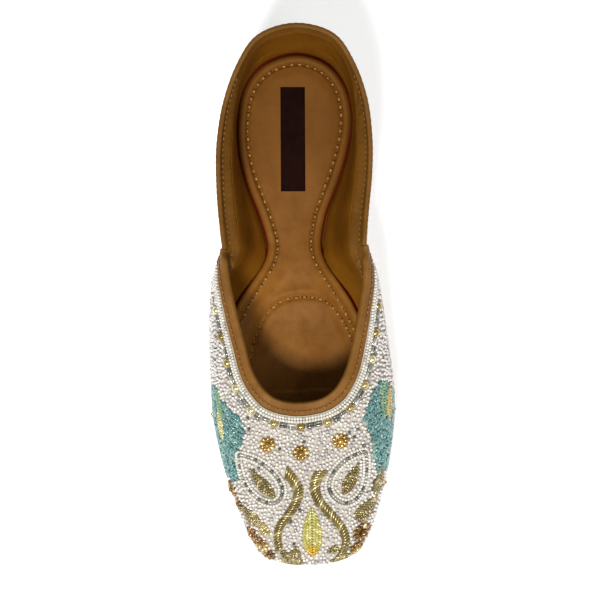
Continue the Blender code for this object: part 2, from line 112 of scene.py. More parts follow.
CRESTS = (
    Crest(0.000, 1.34),
    Crest(0.400, 1.30),
    Crest(0.460, 1.27),
    Crest(0.520, 1.22),
    Crest(0.590, 1.14),
    Crest(0.690, 1.00),
    Crest(0.763, 0.85),
    Crest(0.840, 0.685),
    Crest(0.916, 0.52),
    Crest(0.960, 0.43),
    Crest(1.000, 0.36),
)
LAST_ROW = len(SECTIONS) - 1
LOOP_ROWS = 2 * LAST_ROW


@dataclass(frozen=True)
class Sizes:
    """Sizes of the shoe, the same as the solid model's.

    From lining_start on they are this dressing's own: how low the lining starts, how far its
    wings run on under the vamp, how much of the throat binding shows outside, how thin the
    wall and the space round it are under a folded edge, and how far the topline's inner
    band and the padding behind it reach.
    """

    shoe_length: float = 260.5 * MM
    ball_width: float = 91 * MM
    back_rise: float = 50 * MM
    throat_rise: float = 40.5 * MM
    sole_sheet: float = 3.5 * MM
    heel_height: float = 10 * MM
    toe_spring: float = 6 * MM
    sole_chamfer: float = 0.9 * MM
    rand_thickness: float = 2.5 * MM
    rand_reach: float = 1.8 * MM
    seat_end: float = 68 * MM
    tread_start: float = 150 * MM
    spring_start: float = 192 * MM
    breast_inner: float = 85 * MM
    breast_outer: float = 79 * MM
    wall: float = 1.4 * MM
    feather_reach: float = 1.2 * MM
    gap: float = 0.3 * MM
    lasting_margin: float = 3.2 * MM
    waist_margin: float = 8.5 * MM
    margin_start: float = 130 * MM
    throat_leg: float = 6.5 * MM
    topline_leg: float = 3.5 * MM
    inner_leg: float = 4.5 * MM
    lining: float = 0.8 * MM
    dome_power: float = 2.1
    start_angle: float = math.radians(34)
    vamp_edge_top: float = 108.5 * MM
    vamp_edge_foot: float = 97 * MM
    rear_leg: float = 8.6 * MM
    insole: float = 3.2 * MM
    insole_inset: float = 0.7 * MM
    lining_start: float = 0.36
    wing_top: float = 117 * MM
    wing_foot: float = 152 * MM
    throat_show: float = 5.7 * MM
    edge_wall: float = 0.8 * MM
    fold_space: float = 0.12 * MM
    fold_sheet: float = 0.75 * MM
    band_leg: float = 8.8 * MM
    collar_pad: float = 3.5 * MM


def blend(a: Number, b: Number, share: Number) -> Number:
    """The value a given share of the way from a to b, for numbers or arrays."""
    return a + (b - a) * share


def ease(value: Number, start: float, end: float) -> Number:
    """0 before start, 1 after end, and a smooth rise between them."""
    share = np.clip((value - start) / (end - start), 0.0, 1.0)
    return share * share * (3 - 2 * share)


def bump_curve(distance: Number, width: float) -> Number:
    """1 at distance 0, falling smoothly to nothing over a few widths."""
    return np.exp(-((distance / width) ** 2))


def cubic(a: Number, b: Number, c: Number, d: Number, share: Number) -> Number:
    """Catmull-Rom curve between b and c.

    Args:
        a: The first value.
        b: The second value.
        c: The third value.
        d: The fourth value.
        share: Share of the way.

    Returns:
        The curve's value.
    """
    return (
        b
        + (c - a) * (0.5 * share)
        + (a - 2.5 * b + 2 * c - 0.5 * d) * share**2
        + (1.5 * b - 0.5 * a - 1.5 * c + 0.5 * d) * share**3
    )


def smooth_path(points: np.ndarray, steps: int, closed: bool = False) -> np.ndarray:
    """A curve through the points.

    Args:
        points: One row for each point.
        steps: Points made for each interval.
        closed: Whether the last point joins the first.

    Returns:
        The curve's points, one row each.
    """
    count = len(points)
    made = []
    for i in range(count if closed else count - 1):
        if closed:
            a, b, c, d = (points[(i + k) % count] for k in (-1, 0, 1, 2))
        else:
            a, b, c, d = (points[min(max(i + k, 0), count - 1)] for k in (-1, 0, 1, 2))
        made += [cubic(a, b, c, d, k / steps) for k in range(steps)]
    if not closed:
        made.append(points[-1])
    return np.array(made)


def lengths_along(points: np.ndarray) -> np.ndarray:
    """Distance of each point of a path from its start."""
    return np.concatenate([[0.0], np.cumsum(np.linalg.norm(np.diff(points, axis=0), axis=1))])


def respaced(points: np.ndarray, pitch: float) -> np.ndarray:
    """The path with its points about pitch apart.

    Args:
        points: Points in space.
        pitch: Distance between points.

    Returns:
        The new points.
    """
    lengths = lengths_along(points)
    count = max(2, round(lengths[-1] / pitch) + 1)
    wanted = np.linspace(0, lengths[-1], count)
    return np.stack([np.interp(wanted, lengths, points[:, k]) for k in range(points.shape[1])], 1)


def unit(vectors: np.ndarray) -> np.ndarray:
    """The vectors at length 1."""
    return vectors / np.maximum(np.linalg.norm(vectors, axis=-1, keepdims=True), 1e-12)


@dataclass(frozen=True)
class Cut:
    """A sloping plane across the shoe, given by its place at the topline and at the rand."""

    top_along: float
    foot_along: float


class Form:
    """The upper's outer face as one smooth sheet round the shoe."""

    FINE = 14
    SAMPLES = 101
    LOWER = 24
    UPPER = 70

    def __init__(self, size: Sizes) -> None:
        """Works out the face's points and normals."""
        self.size = size
        widest_in = max(s.wide_in for s in SECTIONS)
        widest_out = max(s.wide_out for s in SECTIONS)
        self.axis_x = (widest_out - widest_in) / 2 * size.ball_width
        turns = np.arange(LOOP_ROWS * self.FINE) / self.FINE
        self.table, self.lengths = self._ribs(turns)
        around = np.roll(self.table, -1, axis=0) - np.roll(self.table, 1, axis=0)
        upward = np.gradient(self.table, axis=1)
        self.normals = unit(np.cross(upward, around))

    def along_of(self, y: Number) -> Number:
        """Distance from the back of the shoe, for a Y coordinate."""
        return self.size.shoe_length / 2 - y

    def sole_top(self, along: Number) -> Number:
        """Height of the rubber's top face.

        Args:
            along: Distance from the back of the shoe.

        Returns:
            The height.
        """
        size = self.size
        lift = ease(along, size.seat_end, size.tread_start)
        level = blend(size.heel_height, size.sole_sheet, lift)
        reach = size.shoe_length - size.spring_start
        sprung = np.maximum(0.0, (along - size.spring_start) / reach)
        return level + size.toe_spring * sprung**2

    def feather(self, along: Number) -> Number:
        """Height at which the upper's wall starts."""
        return self.sole_top(along) + self.size.rand_thickness + 2 * self.size.gap

    def crest(self, along: Number) -> Number:
        """Height of the arch line over instep and toes.

        Args:
            along: Distance from the back of the shoe.

        Returns:
            The height.
        """
        share = np.clip(along / self.size.shoe_length, 0.0, 1.0)
        starts = np.array([c.along for c in CRESTS])
        rises = np.array([c.rise for c in CRESTS])
        last = len(CRESTS) - 1
        i = np.clip(np.searchsorted(starts, share, side="right") - 1, 0, last - 1)
        local = (share - starts[i]) / (starts[i + 1] - starts[i])
        a, b, c, d = (rises[np.clip(i + k, 0, last)] for k in (-1, 0, 1, 2))
        return self.feather(along) + self.size.throat_rise * cubic(a, b, c, d, local)

    def loop_value(self, read: Callable[[Section, bool], object], turns: np.ndarray) -> np.ndarray:
        """Smooth values round the shoe.

        Args:
            read: Gives a section's value, and is told whether it is on the inner side.
            turns: Places round the shoe, in sections.

        Returns:
            One value, or row of values, for each turn.
        """
        values = []
        for k in range(LOOP_ROWS):
            inner = k <= LAST_ROW
            values.append(read(SECTIONS[k if inner else LOOP_ROWS - k], inner))
        table = np.array(values, dtype=float)
        i = np.floor(turns).astype(int)
        share = turns - i
        if table.ndim == 2:
            share = share[:, None]
        a, b, c, d = (table[(i + k) % LOOP_ROWS] for k in (-1, 0, 1, 2))
        return cubic(a, b, c, d, share)

    def rail(self, turns: np.ndarray, name: str) -> np.ndarray:
        """Plan points on one of the rails sole, wide or edge.

        Args:
            turns: Places round the shoe, in sections.
            name: Its name.

        Returns:
            The points.
        """
        size = self.size

        def read(row: Section, inner: bool) -> tuple[float, float]:
            """A section's place in the plan."""
            side = getattr(row, name + ("_in" if inner else "_out")) * size.ball_width
            along = getattr(row, name + "_along") * size.shoe_length
            return ((side if inner else -side) + self.axis_x, size.shoe_length / 2 - along)

        return self.loop_value(read, turns)

    def rail_normal(self, turns: np.ndarray, name: str) -> np.ndarray:
        """Directions in the plan that point out of a rail."""
        ahead = self.rail(turns + 0.02, name) - self.rail(turns - 0.02, name)
        return unit(np.stack([-ahead[:, 1], ahead[:, 0]], 1))

    def _ribs(self, turns: np.ndarray) -> tuple[np.ndarray, np.ndarray]:
        """The face's points and each rib's length.

        Args:
            turns: Places round the shoe, in sections.

        Returns:
            The points, and one length a rib.
        """
        size = self.size
        foot = self.rail(turns, "sole") + self.rail_normal(turns, "sole") * size.feather_reach
        wide = self.rail(turns, "wide")
        edge = self.rail(turns, "edge")
        foot_z = self.feather(self.along_of(foot[:, 1]))
        rise = self.loop_value(lambda row, _: row.wide_rise, turns) * size.back_rise
        wide_z = self.feather(self.along_of(wide[:, 1])) + rise
        power = (2 / self.loop_value(lambda row, _: row.swell, turns))[:, None]
        dome = (self.loop_value(lambda row, _: row.dome, turns) * size.ball_width)[:, None]
        angle = np.linspace(size.start_angle, math.pi / 2, self.LOWER + 1)[None, :]
        start_out = math.sin(size.start_angle) ** power
        start_up = math.cos(size.start_angle) ** power
        up = 1 - np.maximum(np.cos(angle), 0) ** power / start_up
        out = (np.sin(angle) ** power - start_out) / (1 - start_out)
        lower_xy = foot[:, None, :] + (wide - foot)[:, None, :] * out[:, :, None]
        lower_z = blend(foot_z[:, None], wide_z[:, None], up)
        share = (np.arange(1, self.UPPER + 1) / self.UPPER)[None, :] ** 2
        reach = np.linalg.norm(edge - wide, axis=1)[:, None]
        done = np.clip(share * reach / dome, 0.0, 1.0)
        lift = (1 - (1 - done) ** size.dome_power) ** (1 / size.dome_power)
        lift *= ease(reach, 0.0, 1.8 * MM)
        upper_xy = wide[:, None, :] + (edge - wide)[:, None, :] * share[:, :, None]
        upper_z = blend(wide_z[:, None], self.crest(self.along_of(upper_xy[:, :, 1])), lift)
        xy = np.concatenate([lower_xy, upper_xy], axis=1)
        z = np.concatenate([lower_z, upper_z], axis=1)
        ribs = np.concatenate([xy, z[:, :, None]], axis=2)
        table = np.empty((len(turns), self.SAMPLES, 3))
        totals = np.empty(len(turns))
        for i, rib in enumerate(ribs):
            lengths = lengths_along(rib)
            totals[i] = lengths[-1]
            wanted = np.linspace(0, lengths[-1], self.SAMPLES)
            for k in range(3):
                table[i, :, k] = np.interp(wanted, lengths, rib[:, k])
        return table, totals

    def length(self, turn: np.ndarray) -> np.ndarray:
        """Length of the wall from feather edge to free edge."""
        at = np.asarray(turn) % LOOP_ROWS * self.FINE
        i = np.floor(at).astype(int) % len(self.lengths)
        return blend(self.lengths[i], self.lengths[(i + 1) % len(self.lengths)], at - np.floor(at))

    def _mix(self, table: np.ndarray, turn: np.ndarray, climb: np.ndarray) -> np.ndarray:
        """The table's values between its own places."""
        turn, climb = np.broadcast_arrays(np.asarray(turn, float), np.asarray(climb, float))
        at = turn % LOOP_ROWS * self.FINE
        i = np.floor(at).astype(int) % len(table)
        j_at = climb / self.length(turn) * (self.SAMPLES - 1)
        j = np.clip(np.floor(j_at).astype(int), 0, self.SAMPLES - 2)
        u = (at - np.floor(at))[..., None]
        v = (j_at - j)[..., None]
        after = (i + 1) % len(table)
        low = blend(table[i, j], table[after, j], u)
        high = blend(table[i, j + 1], table[after, j + 1], u)
        return blend(low, high, v)

    def normal(self, turn: np.ndarray, climb: np.ndarray) -> np.ndarray:
        """Directions out of the face."""
        inside = np.clip(climb, 0.0, self.length(turn))
        return unit(self._mix(self.normals, turn, inside))

    def skin(self, turn: np.ndarray, climb: np.ndarray, depth: Number = 0.0) -> np.ndarray:
        """Points over the face by depth, or under it where depth is negative."""
        depth = np.asarray(depth, float)
        return self._mix(self.table, turn, climb) + self.normal(turn, climb) * depth[..., None]

    def wide_along(self, turn: np.ndarray) -> np.ndarray:
        """How far along the shoe the widest line is at turn."""
        turn = np.asarray(turn, float)
        return self.along_of(self.rail(turn.ravel(), "wide")[:, 1]).reshape(turn.shape)

    def vampness(self, turn: np.ndarray) -> np.ndarray:
        """1 on the vamp and 0 round the back."""
        size = self.size
        start = size.vamp_edge_top - 2 * size.rear_leg
        return ease(self.wide_along(turn), start, size.vamp_edge_top)

    def margin(self, turn: np.ndarray) -> np.ndarray:
        """Bare cloth under the beads at turn."""
        size = self.size
        share = ease(self.wide_along(turn), size.margin_start, size.spring_start)
        return blend(size.waist_margin, size.lasting_margin, share)

    def wall_depth(self, below: np.ndarray) -> np.ndarray:
        """Thickness of the wall at a distance below its free edge, where it is skived thin."""
        size = self.size
        return blend(size.edge_wall, size.wall, ease(below, 1.5 * MM, 9 * MM))

    def padding(self, turn: np.ndarray, drop: np.ndarray) -> np.ndarray:
        """How far the collar's padding pushes the inside in, at a distance below the edge.

        Args:
            turn: Places round the shoe, in sections.
            drop: Distance below the free edge.

        Returns:
            The push at each place.
        """
        along = self.wide_along(turn)
        where = ease(along, 10 * MM, 55 * MM) * (1 - ease(along, 108 * MM, 150 * MM))
        height = ease(drop, 1.2 * MM, 9.5 * MM) * (1 - ease(drop, 12 * MM, 34 * MM))
        return self.size.collar_pad * where * height

    def past(self, cut: Cut, points: np.ndarray) -> np.ndarray:
        """How far points lie in front of a cut.

        Args:
            cut: The plane that ends it.
            points: Points in space.

        Returns:
            The distances.
        """
        size = self.size
        top = float(self.feather(0.0)) + size.back_rise
        foot = float(self.feather(size.tread_start))
        slope = (cut.top_along - cut.foot_along) / (top - foot)
        return self.along_of(points[..., 1]) - cut.foot_along - slope * (points[..., 2] - foot)

    def crossing(
        self, cut: Cut, climb_of: Callable[[np.ndarray, np.ndarray], np.ndarray],
        shares: np.ndarray, inner: bool,
    ) -> np.ndarray:
        """Turns at which rows of a piece meet a cut.

        Args:
            cut: The plane.
            climb_of: Gives the climb of a row, from its turn and its share of the piece's height.
            shares: The rows' shares.
            inner: Whether the inner side is meant.

        Returns:
            One turn for each share.
        """
        low = np.full(len(shares), 4.0)
        high = np.full(len(shares), 14.0)
        for _ in range(26):
            middle = (low + high) / 2
            turn = middle if inner else LOOP_ROWS - middle
            ahead = self.past(cut, self.skin(turn, climb_of(turn, shares))) > 0
            high = np.where(ahead, middle, high)
            low = np.where(ahead, low, middle)
        return low if inner else LOOP_ROWS - low


def new_mesh(
    name: str, points: np.ndarray, faces: list[np.ndarray], smooth: bool = True
) -> bpy.types.Object:
    """An object from arrays.

    Args:
        name: The object's name.
        points: One row for each vertex.
        faces: Arrays of faces, each with one row for each face of the same corner count.
        smooth: Whether it is shaded smooth.

    Returns:
        The object, with its faces turned outwards.
    """
    volume = 0.0
    for block in faces:
        for k in range(1, block.shape[1] - 1):
            a, b, c = points[block[:, 0]], points[block[:, k]], points[block[:, k + 1]]
            volume += float(np.einsum("ij,ij->i", a, np.cross(b, c)).sum())
    if volume < 0:
        faces = [block[:, ::-1] for block in faces]
    loops = np.concatenate([block.ravel() for block in faces])
    counts = np.concatenate([np.full(len(block), block.shape[1]) for block in faces])
    mesh = bpy.data.meshes.new(name)
    mesh.vertices.add(len(points))
    mesh.vertices.foreach_set("co", points.astype(np.float32).ravel())
    mesh.loops.add(len(loops))
    mesh.loops.foreach_set("vertex_index", loops.astype(np.int32))
    mesh.polygons.add(len(counts))
    starts = np.concatenate([[0], np.cumsum(counts)[:-1]])
    mesh.polygons.foreach_set("loop_start", starts.astype(np.int32))
    mesh.update(calc_edges=True)
    mesh.validate()
    if smooth:
        mesh.shade_smooth()
    made = bpy.data.objects.new(name, mesh)
    bpy.context.scene.collection.objects.link(made)
    return made


def grid_quads(columns: int, rows: int, wrap_columns: bool, wrap_rows: bool) -> np.ndarray:
    """Quads over points laid out column by column.

    Args:
        columns: Columns of points.
        rows: Points in each column.
        wrap_columns: Whether the last column joins the first.
        wrap_rows: Whether the last point of a column joins its first.

    Returns:
        One row of four corners for each face.
    """
    i = np.arange(columns if wrap_columns else columns - 1)
    j = np.arange(rows if wrap_rows else rows - 1)
    i, j = np.meshgrid(i, j, indexing="ij")
    after, above = (i + 1) % columns, (j + 1) % rows
    quads = [i * rows + j, after * rows + j, after * rows + above, i * rows + above]
    return np.stack(quads, axis=-1).reshape(-1, 4)


def tube(name: str, grid: np.ndarray, closed: bool) -> bpy.types.Object:
    """A solid whose cross-sections are closed loops.

    Args:
        name: The object's name.
        grid: Points as [section, point of the loop, coordinate].
        closed: Whether the last section joins the first; otherwise both ends are capped.

    Returns:
        The object.
    """
    columns, rows = grid.shape[:2]
    faces = [grid_quads(columns, rows, closed, True)]
    if not closed:
        faces.append(np.arange(rows)[None, ::-1])
        faces.append((np.arange(rows) + (columns - 1) * rows)[None, :])
    return new_mesh(name, grid.reshape(-1, 3), faces)


def welded(thing: bpy.types.Object) -> bpy.types.Object:
    """The object with the points that coincide joined.

    Args:
        thing: The object.

    Returns:
        The object.
    """
    shape = bmesh.new()
    shape.from_mesh(thing.data)
    bmesh.ops.remove_doubles(shape, verts=shape.verts, dist=2e-6)
    shape.to_mesh(thing.data)
    shape.free()
    thing.data.shade_smooth()
    return thing


def tri_count(thing: bpy.types.Object) -> int:
    """Triangles in an object's mesh."""
    return sum(len(p.vertices) - 2 for p in thing.data.polygons)


class Groove(NamedTuple):
    """A soft trough along a path, or a ridge where its depth is negative."""

    path: np.ndarray
    width: float
    depth: float


def nearness(points: np.ndarray, path: np.ndarray) -> np.ndarray:
    """Distance of each point from a path of straight runs.

    Args:
        points: Points in space.
        path: The path's points, one row each.

    Returns:
        The distances.
    """
    flat = points.reshape(-1, 3)
    best = np.full(len(flat), np.inf)
    for a, b in zip(path, path[1:]):
        run = b - a
        share = np.clip((flat - a) @ run / max(float(run @ run), 1e-12), 0.0, 1.0)
        best = np.minimum(best, np.linalg.norm(flat - a - share[:, None] * run, axis=1))
    return best.reshape(points.shape[:-1])


def run_along(points: np.ndarray, path: np.ndarray) -> np.ndarray:
    """How far along a path its nearest place to each point is.

    Args:
        points: Points in space.
        path: The path's points, one row each.

    Returns:
        The lengths.
    """
    flat = points.reshape(-1, 3)
    best = np.full(len(flat), np.inf)
    where = np.zeros(len(flat))
    start = 0.0
    for a, b in zip(path, path[1:]):
        run = b - a
        share = np.clip((flat - a) @ run / max(float(run @ run), 1e-12), 0.0, 1.0)
        away = np.linalg.norm(flat - a - share[:, None] * run, axis=1)
        length = float(np.linalg.norm(run))
        where = np.where(away < best, start + share * length, where)
        best = np.minimum(best, away)
        start += length
    return where.reshape(points.shape[:-1])


def sunk(points: np.ndarray, grooves: list[Groove]) -> np.ndarray:
    """How deep the grooves take each point.

    Args:
        points: Points in space.
        grooves: The troughs.

    Returns:
        The depths.
    """
    total = np.zeros(points.shape[:-1])
    for groove in grooves:
        total += groove.depth * bump_curve(nearness(points, groove.path), groove.width)
    return total


@dataclass(frozen=True)
class Shape:
    """A small closed mesh that is stamped many times, with its length along X and Z outwards."""

    points: np.ndarray
    quads: np.ndarray
    ends: np.ndarray


def turned_shape(profile: list[tuple[float, float]], sides: int) -> Shape:
    """A shape turned round X.

    Args:
        profile: Pairs of place along X and radius, for a length and a diameter of 1.
        sides: Faces round it.

    Returns:
        The shape, closed by a flat face at each end.
    """
    angles = np.arange(sides) * 2 * math.pi / sides + math.pi / sides
    rings = [
        np.stack([np.full(sides, x), r * np.cos(angles), r * np.sin(angles)], 1) for x, r in profile
    ]
    quads = grid_quads(len(rings), sides, False, True)
    last = (len(rings) - 1) * sides
    ends = np.array([np.arange(sides)[::-1], np.arange(sides) + last])
    return Shape(np.concatenate(rings), quads[:, ::-1], ends)


def stitch_shape(sides: int, rings: int) -> Shape:
    """A thread's visible run: it rises out of one hole and dives into the next.

    Args:
        sides: Faces round it.
        rings: Rings of points along it.

    Returns:
        The shape.
    """
    share = np.linspace(-1, 1, rings)
    angles = np.arange(sides) * 2 * math.pi / sides
    radius = 0.5 * np.sqrt(np.clip(1 - 0.82 * share**8, 0, 1))
    points = np.empty((rings, sides, 3))
    points[:, :, 0] = 0.5 * share[:, None]
    points[:, :, 1] = radius[:, None] * np.cos(angles)
    points[:, :, 2] = radius[:, None] * np.sin(angles) + 0.42 - 0.85 * share[:, None] ** 4
    quads = grid_quads(rings, sides, False, True)
    last = (rings - 1) * sides
    ends = np.array([np.arange(sides)[::-1], np.arange(sides) + last])
    return Shape(points.reshape(-1, 3), quads[:, ::-1], ends)


@dataclass
class Stamp:
    """Places at which one shape is set.

    Fields are the shape, and for each copy its middle, its long direction, the way out of
    the surface, its length and its thickness.
    """

    shape: Shape
    middles: list[np.ndarray] = field(default_factory=list)
    axes: list[np.ndarray] = field(default_factory=list)
    outs: list[np.ndarray] = field(default_factory=list)
    lengths: list[float] = field(default_factory=list)
    widths: list[float] = field(default_factory=list)

    def add(
        self, middle: np.ndarray, axis: np.ndarray, out: np.ndarray, length: float, width: float
    ) -> None:
        """Sets one more copy.

        Args:
            middle: Its middle.
            axis: The way its length runs.
            out: The way out of the surface.
            length: Its length.
            width: Its thickness.
        """
        self.middles.append(middle)
        self.axes.append(axis)
        self.outs.append(out)
        self.lengths.append(length)
        self.widths.append(width)

    def object(self, name: str, first: int = 0, last: int | None = None) -> bpy.types.Object:
        """The copies from first to last as one joined mesh.

        Args:
            name: Its name.
            first: The first copy.
            last: The copy to stop before.

        Returns:
            The object.
        """
        middles = np.array(self.middles[first:last])
        axes = unit(np.array(self.axes[first:last]))
        outs = np.array(self.outs[first:last])
        outs = unit(outs - np.einsum("ij,ij->i", outs, axes)[:, None] * axes)
        sides = np.cross(outs, axes)
        lengths = np.array(self.lengths[first:last])[:, None, None]
        widths = np.array(self.widths[first:last])[:, None, None]
        local = self.shape.points[None, :, :]
        points = middles[:, None, :] + local[:, :, 0:1] * lengths * axes[:, None, :]
        points = points + local[:, :, 1:2] * widths * sides[:, None, :]
        points = points + local[:, :, 2:3] * widths * outs[:, None, :]
        steps = (np.arange(len(middles)) * local.shape[1])[:, None, None]
        quads = (self.shape.quads[None] + steps).reshape(-1, 4)
        ends = (self.shape.ends[None] + steps).reshape(-1, self.shape.ends.shape[1])
        return new_mesh(name, points.reshape(-1, 3), [quads, ends])


class Stock(Enum):
    """Shapes that beads and threads are made from."""

    SEED = "seed"
    BUGLE = "bugle"
    CUT = "cut"
    HOLE = "hole"
    STITCH = "stitch"

    def shape(self) -> Shape:
        """The mesh of one copy.

        Returns:
            The shape.
        """
        if self is Stock.SEED:
            profile = [(-0.5, 0.2), (-0.45, 0.38), (-0.2, 0.5), (0.2, 0.5), (0.45, 0.38), (0.5, 0.2)]
            return turned_shape(profile, 8)
        if self is Stock.BUGLE:
            return turned_shape([(-0.5, 0.34), (-0.47, 0.5), (0.47, 0.5), (0.5, 0.34)], 8)
        if self is Stock.CUT:
            profile = [(-0.5, 0.22), (-0.3, 0.46), (0.0, 0.5), (0.3, 0.46), (0.5, 0.22)]
            return turned_shape(profile, 6)
        if self is Stock.HOLE:
            return turned_shape([(-0.5, 0.5), (0.2, 0.5), (0.5, 0.4)], 8)
        return stitch_shape(6, 7)


def stitch_row(
    stamp: Stamp, holes: Stamp, path: np.ndarray, outs: np.ndarray, pitch: float, width: float,
    share: float = 0.8,
) -> None:
    """Sets stitches along a path, with a dark needle hole at each end of them.

    Args:
        stamp: Takes the stitches.
        holes: Takes the needle holes.
        path: Points on the surface.
        outs: The way out of the surface at each point.
        pitch: Length from one stitch to the next.
        width: The thread's thickness.
        share: Share of the pitch that shows as thread.
    """
    joined = np.concatenate([path, outs], axis=1)
    lengths = lengths_along(path)
    count = max(1, round(lengths[-1] / pitch))
    step = lengths[-1] / count
    for i in range(count):
        spots = (i + 0.5 + np.array([-share / 2, 0.0, share / 2])) * step
        a, middle, b = np.stack([np.interp(spots, lengths, joined[:, k]) for k in range(6)], 1)
        run = b[:3] - a[:3]
        stamp.add(middle[:3], run, middle[3:], float(np.linalg.norm(run)), width)
        for end in (a, b):
            holes.add(end[:3] + end[3:] * 0.02 * MM, end[3:], run, 0.1 * MM, width * 1.15)


class Nodes:
    """Short calls for building a node tree."""

    def __init__(self, tree: bpy.types.NodeTree) -> None:
        """Starts on a tree."""
        self.tree = tree

    def add(self, kind: str, settings: dict | None = None, **values: object) -> bpy.types.Node:
        """A node, with its input sockets set or linked.

        Args:
            kind: The node's type without its ShaderNode prefix.
            settings: Values of the node's own properties.
            values: Input sockets by name, with underscores for spaces. A socket is linked.

        Returns:
            The node.
        """
        node = self.tree.nodes.new("ShaderNode" + kind)
        for key, value in (settings or {}).items():
            setattr(node, key, value)
        for key, value in values.items():
            self.put(node.inputs[key.replace("_", " ")], value)
        return node

    def put(self, socket: bpy.types.NodeSocket, value: object) -> None:
        """Links a socket, or sets its value.

        Args:
            socket: The input socket.
            value: A value, or a socket to link.
        """
        if isinstance(value, bpy.types.NodeSocket):
            self.tree.links.new(value, socket)
        elif isinstance(value, tuple) and len(value) == 3 and socket.type == "RGBA":
            socket.default_value = (*value, 1.0)
        else:
            socket.default_value = value

    def math(
        self, operation: str, a: object, b: object = 0.0, clamp: bool = False
    ) -> bpy.types.NodeSocket:
        """The result of a Math node.

        Args:
            operation: The node's operation.
            a: The first value.
            b: The second value.
            clamp: Whether it is held in 0 to 1.

        Returns:
            The output socket.
        """
        node = self.tree.nodes.new("ShaderNodeMath")
        node.operation = operation
        node.use_clamp = clamp
        self.put(node.inputs[0], a)
        self.put(node.inputs[1], b)
        return node.outputs[0]

    def mix(self, factor: object, a: object, b: object) -> bpy.types.NodeSocket:
        """The result of a colour Mix node.

        Args:
            factor: Share of the second colour.
            a: The first value.
            b: The second value.

        Returns:
            The output socket.
        """
        node = self.tree.nodes.new("ShaderNodeMix")
        node.data_type = "RGBA"
        self.put(node.inputs[0], factor)
        self.put(node.inputs[6], a)
        self.put(node.inputs[7], b)
        return node.outputs[2]

    def noise(
        self, scale: object, detail: float, roughness: float = 0.5, distortion: float = 0.0
    ) -> bpy.types.NodeSocket:
        """A noise value over the object's own coordinates.

        Args:
            scale: Its scale.
            detail: Its octaves.
            roughness: Strength of the finer octaves.
            distortion: How far it is warped.

        Returns:
            The output socket.
        """
        place = self.add("TexCoord").outputs["Object"]
        node = self.add(
            "TexNoise", Vector=place, Scale=scale, Detail=detail, Roughness=roughness,
            Distortion=distortion,
        )
        return node.outputs[0]

    def spread(self, value: object, low: object, high: object) -> bpy.types.NodeSocket:
        """The value rescaled so that low gives 0 and high gives 1, held between them.

        Args:
            value: A value, or a socket to link.
            low: What gives 0.
            high: What gives 1.

        Returns:
            The output socket.
        """
        node = self.add("MapRange", {"clamp": True, "interpolation_type": "SMOOTHSTEP"})
        self.put(node.inputs[0], value)
        self.put(node.inputs[1], low)
        self.put(node.inputs[2], high)
        return node.outputs[0]


class Effect:
    """A shader node group that several finishes use."""

    title = ""
    takes: tuple[tuple[str, str, object], ...] = ()
    gives: tuple[tuple[str, str], ...] = ()

    def group(self) -> bpy.types.NodeTree:
        """The group, built at its first use.

        Returns:
            The group's tree.
        """
        found = bpy.data.node_groups.get(self.title)
        if found:
            return found
        tree = bpy.data.node_groups.new(self.title, "ShaderNodeTree")
        for name, kind, value in self.takes:
            socket = tree.interface.new_socket(name, in_out="INPUT", socket_type=kind)
            socket.default_value = (*value, 1.0) if isinstance(value, tuple) else value
        for name, kind in self.gives:
            tree.interface.new_socket(name, in_out="OUTPUT", socket_type=kind)
        nodes = Nodes(tree)
        start = tree.nodes.new("NodeGroupInput")
        end = tree.nodes.new("NodeGroupOutput")
        made = self.fill(nodes, start.outputs)
        for name, socket in made.items():
            nodes.put(end.inputs[name], socket)
        return tree

    def fill(self, nodes: Nodes, given: bpy.types.bpy_prop_collection) -> dict:
        """Builds the group's nodes and returns its outputs by name."""
        raise NotImplementedError

    def use(self, nodes: Nodes, **values: object) -> bpy.types.bpy_prop_collection:
        """The group as a node in a material, with its inputs set.

        Args:
            nodes: Builds nodes in the tree.
            values: Input sockets by name.

        Returns:
            The group's output sockets.
        """
        node = nodes.tree.nodes.new("ShaderNodeGroup")
        node.node_tree = self.group()
        for key, value in values.items():
            nodes.put(node.inputs[key.replace("_", " ")], value)
        return node.outputs


class Mottle(Effect):
    """Two shades of a colour in soft clouds, with a finer freckle on top."""

    title = "Mottle"
    takes = (
        ("Light", "NodeSocketColor", (0.5, 0.5, 0.5)),
        ("Dark", "NodeSocketColor", (0.2, 0.2, 0.2)),
        ("Scale", "NodeSocketFloat", 60.0),
        ("Freckle", "NodeSocketFloat", 0.3),
    )
    gives = (("Colour", "NodeSocketColor"), ("Cloud", "NodeSocketFloat"))

    def fill(self, nodes: Nodes, given: bpy.types.bpy_prop_collection) -> dict:
        """Clouds at Scale, and freckles ten times finer.

        Args:
            nodes: Builds nodes in the tree.
            given: The group's input sockets.

        Returns:
            The group's outputs by name.
        """
        cloud = nodes.spread(nodes.noise(given["Scale"], 4.0, 0.6), 0.32, 0.68)
        fine = nodes.noise(nodes.math("MULTIPLY", given["Scale"], 11.0), 3.0, 0.7)
        speck = nodes.math("MULTIPLY", nodes.spread(fine, 0.45, 0.75), given["Freckle"])
        mask = nodes.math("ADD", nodes.math("MULTIPLY", cloud, 0.8), speck, clamp=True)
        return {"Colour": nodes.mix(mask, given["Light"], given["Dark"]), "Cloud": cloud}


